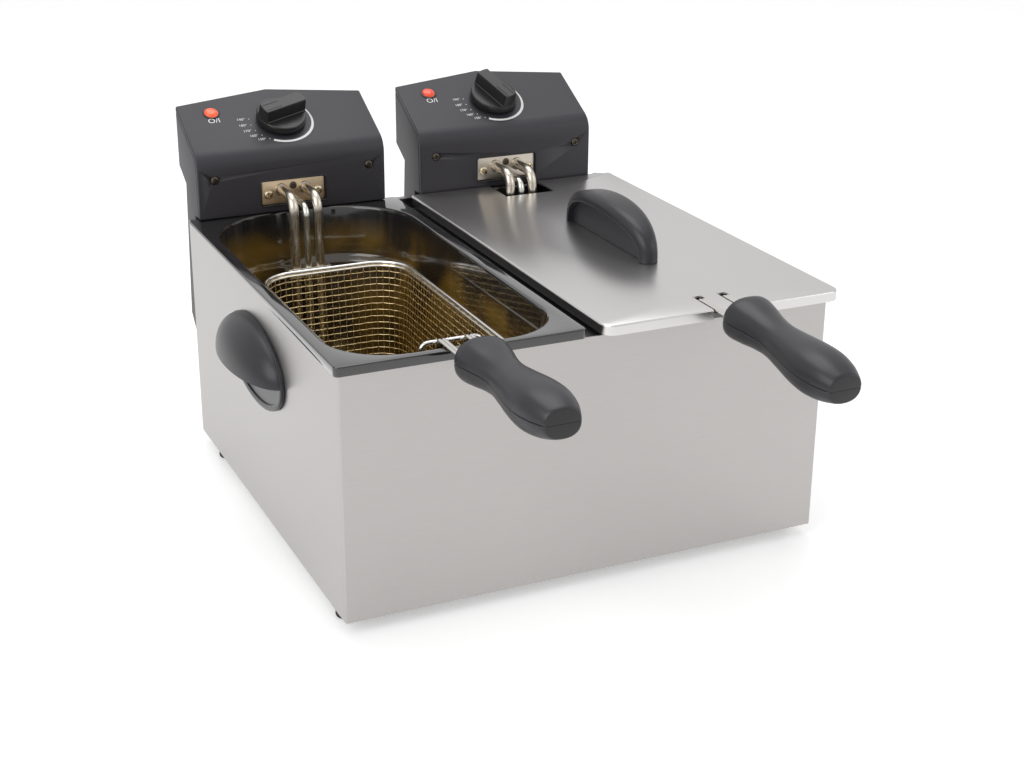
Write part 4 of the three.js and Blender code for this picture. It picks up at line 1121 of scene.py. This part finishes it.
class FRYER_OT_lamps(EachSide, bpy.types.Operator):
    """Make the pilot lamps: a faceted lens in a thin ring"""

    bl_idname = "fryer.lamps"
    bl_label = "Pilot lamps"

    def make(self, side, sizes):
        node = f"{side}_lamp_lens"
        place = panel(side)
        centre = place.inverted() @ (sum(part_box(node), Vector()) / 2)
        spot = Matrix.Translation((centre.x, centre.y, 0))
        shape = Shape().lathe([(5.4, -5), (5.4, 0.2), (5.4, 1.0), (4.6, 1.7), (3.2, 2.2),
                               (1.6, 2.5), (0.4, 2.55)], 36, spot)
        piece = shape.build(f"{side}_lamp", place,
                            ["lamp_lit" if side == "left" else "lamp_dim"], 40.0)
        settle(piece, f"{side}_head_body", "red_lens", node)
        ring = Shape().lathe([(5.55, 0.0), (7.0, 0.0), (6.9, 0.5), (6.3, 0.8), (5.7, 0.7)],
                             40, spot, loop=True)
        settle(ring.build(f"{side}_lamp_ring", place, ["knob"], 40.0),
               f"{side}_head_body", "head_plastic")


# ------------------------------------------------------------------ baskets


def basket_values(side):
    """The basket's outline, from its rim and tub."""
    rim = Extent(f"{side}_basket_rim")
    wire = (rim.z1 - rim.z0) / 2
    return {"wire": wire, "half": rim.half - wire, "y0": rim.y0 + wire, "y1": rim.y1 - wire,
            "top": (rim.z1 + rim.z0) / 2, "bottom": Extent(f"{side}_basket").z0}


class FRYER_OT_basket_mesh(bpy.types.Operator):
    """Weave the wire mesh of the two baskets"""

    bl_idname = "fryer.basket_mesh"
    bl_label = "Basket mesh"

    def execute(self, context):
        sizes = context.scene.fryer_sizes
        tree = weave_tree()
        for side in SIDES:
            points, edges, swings = self.lines(basket_values(side), sizes.mesh_pitch / MM)
            place = drawing(middle_x(f"{side}_basket"))
            piece = marked_points(f"{side}_basket_weave", [place @ p for p in points], edges,
                                  "swing", swings)
            run_tree(piece, tree, {"Wire radius": sizes.mesh_wire, "Weave depth": sizes.weave,
                                   "Sides": 5, "Finish": finish_named("gilt")})
            settle(piece, f"{side}_basket_body", "gilt_mesh", f"{side}_basket")
        return {"FINISHED"}

    def outline(self, v, count):
        """Evenly spaced points round the mouth with their outward directions."""
        dense = rounded_ring(v["half"], v["y0"], v["y1"], 0, BASKET_CORNER, BASKET_CORNER, 24)
        dense.append(dense[0])
        lengths = [0.0]
        for a, b in zip(dense, dense[1:]):
            lengths.append(lengths[-1] + (b - a).length)
        result, k = [], 0
        for i in range(count):
            target = lengths[-1] * i / count
            while lengths[k + 1] < target:
                k += 1
            share = (target - lengths[k]) / max(lengths[k + 1] - lengths[k], 1e-9)
            run = (dense[k + 1] - dense[k]).normalized()
            result.append((dense[k].lerp(dense[k + 1], share), Vector((run.y, -run.x, 0))))
        return result, lengths[-1]

    def lines(self, v, pitch):
        """Upright wires and level rings for the walls, and a grid for the bottom."""
        total = self.outline(v, 8)[1]
        count = 2 * round(total / pitch / 2)
        rows = round((v["top"] - v["bottom"] - 7) / pitch)
        around = self.outline(v, 2 * count)[0]
        below_rim, above_floor, inside_rim, lean = 1.5, 6.5, 0.9, 6
        points, edges, swings = [], [], []

        def line(chain, closed=False):
            base = len(points)
            for p, s in chain:
                points.append(p)
                swings.append(s)
            edges.extend((base + i, base + i + 1) for i in range(len(chain) - 1))
            if closed:
                edges.append((base + len(chain) - 1, base))

        def wall(i, level):
            p, out = around[i % (2 * count)]
            share = level / (2 * rows)
            z = v["top"] - below_rim + (v["bottom"] + above_floor - v["top"] + below_rim) * share
            return p - out * (inside_rim + lean * share) + Vector((0, 0, z)), out

        for j in range(count):
            chain = []
            for level in range(2 * rows + 1):
                p, out = wall(2 * j, level)
                sign = 0 if level % 2 else (1 if (level // 2 + j) % 2 else -1)
                chain.append((p, out * sign))
            foot, out = around[2 * j]
            chain.append((foot - out * 9.0 + Vector((0, 0, v["bottom"] + 2.2)), out * 0))
            chain.append((foot - out * 13.5 + Vector((0, 0, v["bottom"] + 0.9)), out * 0))
            line(chain)
        for row in range(rows + 1):
            chain = []
            for i in range(2 * count):
                p, out = wall(i, 2 * row)
                sign = 0 if i % 2 else (-1 if (row + i // 2) % 2 else 1)
                chain.append((p, out * sign))
            line(chain, True)
        self.bottom(v, pitch, line)
        return points, edges, swings

    def bottom(self, v, pitch, line):
        """Wires both ways across the bottom, cut short at its rounded corners."""
        taper = 11.5
        half, y0, y1 = v["half"] - taper, v["y0"] + taper, v["y1"] - taper
        corner, z = BASKET_CORNER - taper, v["bottom"] + 0.95
        across, along = round(2 * half / pitch), round((y1 - y0) / pitch)

        def trim(distance):
            return corner - math.sqrt(max(corner ** 2 - max(corner - distance, 0) ** 2, 0))

        for axis, count, other in ((0, across, along), (1, along, across)):
            for j in range(1, count):
                fixed = -half + 2 * half * j / count if axis == 0 else y0 + (y1 - y0) * j / count
                inner = min(fixed + half, half - fixed) if axis == 0 \
                    else min(fixed - y0, y1 - fixed)
                cut = trim(inner)
                low, high = (y0 + cut, y1 - cut) if axis == 0 else (-half + cut, half - cut)
                chain = []
                for i in range(2 * other + 1):
                    t = low + (high - low) * i / (2 * other)
                    sign = 0 if i % 2 else (1 if (i // 2 + j + axis) % 2 else -1)
                    spot = (fixed, t, z) if axis == 0 else (t, fixed, z)
                    chain.append((Vector(spot), Vector((0, 0, sign))))
                line(chain)


class FRYER_OT_basket_wires(EachSide, bpy.types.Operator):
    """Make the heavy wires of the baskets: rim, front bracket and the handle's hairpins"""

    bl_idname = "fryer.basket_wires"
    bl_label = "Basket wires"

    def make(self, side, sizes):
        v = basket_values(side)
        place = drawing(middle_x(f"{side}_basket"))
        body = f"{side}_basket_body"
        rim = Shape()
        for inset, drop, radius, sides in ((0, 0, v["wire"] * 0.86, 14), (1.6, 2.2, 0.8, 10)):
            corner = BASKET_CORNER - inset
            rim.rod(rounded_ring(v["half"] - inset, v["y0"] + inset, v["y1"] - inset,
                                 v["top"] - drop, corner, corner, 16), radius, sides, True)
        settle(rim.build(f"{side}_rim_wire", place, ["chrome"]), body, "chrome_wire",
               f"{side}_basket_rim")
        self.bracket(side, v, place, body)
        self.hairpins(side, v, place, body)

    def bracket(self, side, v, place, body):
        node = f"{side}_basket_bracket"
        box, radius = Extent(node), 1.5
        x, y, top, foot = box.half - radius, box.y0 + radius, box.z1 - radius, box.z0 + radius
        shape = Shape()
        corners = [(-x, y, foot), (-x, y, top), (x, y, top), (x, y, foot)]
        shape.rod(rounded_path(corners, 6), radius)
        for sign in (-1, 1):
            share = (v["top"] - foot) / (v["top"] - v["bottom"])
            shape.rod([(sign * x, y, foot), (sign * x, v["y0"] + 6 * share, foot)], radius)
        for z in (foot, foot + 14):
            shape.rod([(-x, y, z), (x, y, z)], radius)
        settle(shape.build(f"{side}_bracket_wire", place, ["chrome"]), body, "chrome_wire", node)

    def hairpins(self, side, v, place, body):
        """Two doubled prongs, each a pair of rods that touch, tied at the foot."""
        grip_y, grip_z, tilt = grip_frame(side)
        y, foot, reach, in_grip = v["y0"] - 11, v["top"] - 40, 12.6, 24
        shape = Shape()
        for sign in (-1, 1):
            for k in (-0.5, 0.5):
                x = sign * 9.75 + k * 2.9
                line = [(x, grip_y - in_grip * math.cos(tilt), grip_z + in_grip * math.sin(tilt)),
                        (x, grip_y, grip_z), (x, y, grip_z), (x, y, foot)]
                shape.rod(rounded_path(line, 6, 7), 1.4, 12)
        shape.rod([(-reach, y, foot), (reach, y, foot)], 1.6, 12)
        settle(shape.build(f"{side}_prongs", place, ["chrome"]), body, "chrome_wire",
               f"{side}_handle_wires")


def grip_frame(side):
    """Where a grip starts, in the bowl's drawing: y, z and its tilt."""
    clearance, wire = 0.3, 1.35
    level = Extent(f"{side}_bowl").z1 + clearance + wire
    return -27.0, level, math.radians(0.5 if side == "left" else -5.0)


class FRYER_OT_grips(bpy.types.Operator):
    """Make the basket grips, each two mouldings with a flared collar, a neck and a belly"""

    bl_idname = "fryer.grips"
    bl_label = "Grips"

    def execute(self, context):
        table = [
            (0.0, 17.5, 14.0), (0.03, 19.0, 15.5), (0.13, 17.5, 14.5), (0.24, 14.7, 12.8),
            (0.36, 13.5, 12.0), (0.5, 15.6, 13.0), (0.66, 18.3, 14.8), (0.79, 18.9, 15.1),
            (0.9, 16.7, 13.3), (0.97, 13.6, 10.9), (1.0, 12.0, 9.6)]
        rows = smooth_table(table, 44)
        for side in SIDES:
            y, z, tilt = grip_frame(side)
            place = drawing(middle_x(f"{side}_bowl")) @ Matrix.Translation((0, y, z)) \
                @ Matrix.Rotation(-tilt, 4, "X")
            for sign, half in ((1, "upper"), (-1, "lower")):
                piece = self.half(rows, sign).build(f"{side}_grip_{half}_moulding", place,
                                                    ["soft", "knob"], 40.0)
                settle(piece, f"{side}_basket_body", "soft_black", f"{side}_grip_{half}")
            self.socket(side, place)
        return {"FINISHED"}

    def half(self, rows, sign):
        """One half of the grip, from the parting plane outwards, with a rounded tip."""
        reach, gap, count, squareness = 119.0, 0.18, 26, 2.35

        def section(y, w, h):
            ring = []
            for i in range(count + 1):
                a = math.pi * i / count
                soften = [math.copysign(abs(t) ** (2 / squareness), t)
                          for t in (math.cos(a), math.sin(a))]
                ring.append(Vector((w * soften[0], y, sign * max(h * soften[1], gap))))
            inner = [Vector((-(w - 0.5), y, sign * gap * 0.6)),
                     Vector((w - 0.5, y, sign * gap * 0.6))]
            ring[0].z = ring[-1].z = sign * (gap + 0.35)
            return ring + inner

        rings = [section(0.0, rows[0][1] - 1.6, rows[0][2] - 1.6),
                 section(-0.3, rows[0][1] - 0.6, rows[0][2] - 0.6)]
        rings += [section(-t * reach, w, h) for t, w, h in rows[1:-1]]
        w, h = rows[-1][1:]
        rings += [section(-reach + back, w + swell, h + swell)
                  for back, swell in ((0.5, 0.1), (0.1, -0.4), (0.0, -0.9))]
        shape = Shape().skin(rings)
        # The end face takes the knob finish: glossier, as the grip's end cap is, and darker as
        # painted shade where the end faces down and forwards.
        shape.paints[-1] = 1
        return shape

    def socket(self, side, place):
        """The dark seat in the collar where the prongs go in."""
        half, half_high = 14.2, 3.6
        rings = [upright_ring(half - inset, inset - half_high, half_high - inset, y, 2.2)
                 for inset, y in ((0, 0.05), (0, 0.5), (0.8, 0.55))]
        piece = Shape().skin(rings).build(f"{side}_grip_seat", place, ["painted"])
        settle(piece, f"{side}_basket_body", "soft_black")


# ------------------------------------------------------------------ lid


class FRYER_OT_lid(bpy.types.Operator):
    """Make the brushed lid and its arched handle"""

    bl_idname = "fryer.lid"
    bl_label = "Lid"

    def execute(self, context):
        node = "right_lid"
        low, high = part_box(node)
        near_edge = 0.0028

        def outer(p):
            return min(abs(p.x - low.x), abs(p.x - high.x), abs(p.y - low.y),
                       abs(p.y - high.y)) < near_edge

        def brim(a, b):
            return all(abs(p.z - high.z) < SAME and outer(p) for p in (a, b))

        piece = softened("lid_sheet", node, "lid", context.scene.fryer_sizes.lid_edge, brim, 4,
                         40.0)
        settle(piece, "right_lid_body", "lid_steel", node)
        self.handle()
        return {"FINISHED"}

    def handle(self):
        node = "right_lid_handle"
        box, steps, crown = Extent(node), 72, 7.8
        half, middle = box.half, (box.y0 + box.y1) / 2
        half_long, rise = (box.y1 - box.y0) / 2, box.z1 - box.z0

        def curve(i, shrink):
            angle = math.pi * i / steps
            return (middle + (half_long - shrink) * math.cos(angle),
                    box.z0 + (rise - shrink) * math.sin(angle) ** 0.75)

        rings = []
        for i in range(steps + 1):
            angle = math.pi * i / steps
            slim = 1 - 0.45 * abs(math.cos(angle)) ** 2.2
            section = [(-half * slim, 8.6), (-half * slim + 0.2, crown + 0.3)]
            section += [(-half * slim + crown * (1 - math.cos(t)), crown * (1 - math.sin(t)))
                        for t in (math.pi / 2 * k / 8 for k in range(9))]
            section += [(-x, d) for x, d in reversed(section)]
            rings.append([Vector((x, *curve(i, d))) for x, d in section])
        shape = Shape().skin(rings)
        outline = [curve(i, 4.5) for i in range(steps + 1)]
        shape.skin([[Vector((x, y, z)) for y, z in outline] for x in (-3.5, 3.5)])
        piece = shape.build("lid_handle_moulding", drawing(middle_x(node)), ["soft"], 45.0)
        settle(piece, "right_lid_body", "soft_black", node)


# ------------------------------------------------------------------ stage


class FRYER_OT_stage(bpy.types.Operator):
    """Make the floor, the lamps, the even surrounding light and the camera"""

    bl_idname = "fryer.stage"
    bl_label = "Stage"

    def execute(self, context):
        stage = context.scene.fryer_stage
        context.scene.view_settings.view_transform = "Standard"
        self.floor(stage)
        self.world(stage)
        self.lamp("key", (-1.5, -0.7, 1.35), (0, 0, 0.15), 1.5, stage.key)
        self.lamp("fill", (1.7, -1.2, 1.1), (0, 0, 0.15), 1.2, stage.fill)
        self.lamp("top", (0.1, 0.5, 1.9), (0, 0, 0.2), 1.4, stage.top)
        self.camera()
        return {"FINISHED"}

    def floor(self, stage):
        half = stage.floor / 2
        mesh = bpy.data.meshes.new("floor")
        mesh.from_pydata([(-half, -half, 0), (half, -half, 0), (half, half, 0), (-half, half, 0)],
                         [], [(0, 1, 2, 3)])
        floor = placed("floor", mesh)
        graph = Graph("floor")
        matt = graph.shader({"Base Color": (0.82, 0.82, 0.82), "Roughness": 0.32,
                             "Specular IOR Level": 0.35})
        glow = graph.node("ShaderNodeEmission", None,
                          {"Color": (1, 1, 1), "Strength": graph.seen() * stage.floor_glow})
        both = graph.node("ShaderNodeAddShader", None, {0: matt, 1: glow})
        mesh.materials.append(graph.finish(both))

    def world(self, stage):
        graph = Graph("studio", bpy.data.worlds.new("studio"))
        level = graph.node("ShaderNodeMix", {"data_type": "FLOAT"},
                           {0: graph.seen(), 2: stage.sky,
                            3: 1.0 if stage.white else stage.sky})
        back = graph.node("ShaderNodeBackground", None, {"Strength": level})
        bpy.context.scene.world = graph.finish(back, "ShaderNodeOutputWorld")

    def lamp(self, name, place, target, size, power):
        """A square area lamp that faces its target."""
        light = bpy.data.lights.new(name, "AREA")
        light.shape, light.size, light.energy = "SQUARE", size, power
        lamp = placed(name, light)
        lamp.location = place
        lamp.rotation_euler = (Vector(target) - Vector(place)).to_track_quat("-Z", "Y").to_euler()

    def camera(self):
        data = bpy.data.cameras.new("camera")
        data.sensor_width, data.lens = 36.0, 59.96
        camera = placed("camera", data)
        look = Vector((0.39003, 0.84173, -0.37333))
        up = Vector((0.15139, 0.3413, 0.92768))
        right = look.cross(up).normalized()
        turn = Matrix((right, right.cross(look), -look)).transposed().to_4x4()
        camera.matrix_world = Matrix.Translation((-0.50297, -1.08263, 0.58418)) @ turn
        bpy.context.scene.camera = camera


# ------------------------------------------------------------------ add-on

OPERATORS = (FRYER_OT_stage, FRYER_OT_housing, FRYER_OT_side_handles, FRYER_OT_bowls,
             FRYER_OT_heads, FRYER_OT_elements, FRYER_OT_screws, FRYER_OT_knobs, FRYER_OT_dials,
             FRYER_OT_lamps, FRYER_OT_basket_mesh, FRYER_OT_basket_wires, FRYER_OT_grips,
             FRYER_OT_lid)


class FRYER_PT_pieces(bpy.types.Panel):
    """Lists the fryer's pieces and settings"""

    bl_idname = "FRYER_PT_pieces"
    bl_label = "Double deep fryer"
    bl_space_type = "VIEW_3D"
    bl_region_type = "UI"
    bl_category = "Fryer"

    def draw(self, context):
        layout = self.layout
        for operator in OPERATORS:
            layout.operator(operator.bl_idname)
        for title, group in (("Sizes", context.scene.fryer_sizes),
                             ("Colours", context.scene.fryer_colours),
                             ("Stage", context.scene.fryer_stage)):
            layout.label(text=title)
            for key in group.__annotations__:
                layout.prop(group, key)


GROUPS = {"fryer_sizes": FryerSizes, "fryer_colours": FryerColours, "fryer_stage": FryerStage}
CLASSES = (*GROUPS.values(), *OPERATORS, FRYER_PT_pieces)


def register():
    for item in CLASSES:
        bpy.utils.register_class(item)
    for name, group in GROUPS.items():
        setattr(bpy.types.Scene, name, PointerProperty(type=group))


def unregister():
    for name in GROUPS:
        delattr(bpy.types.Scene, name)
    for item in reversed(CLASSES):
        bpy.utils.unregister_class(item)


def main():
    register()
    for operator in OPERATORS:
        group, name = operator.bl_idname.split(".")
        getattr(getattr(bpy.ops, group), name)()


if __name__ == "__main__":
    main()
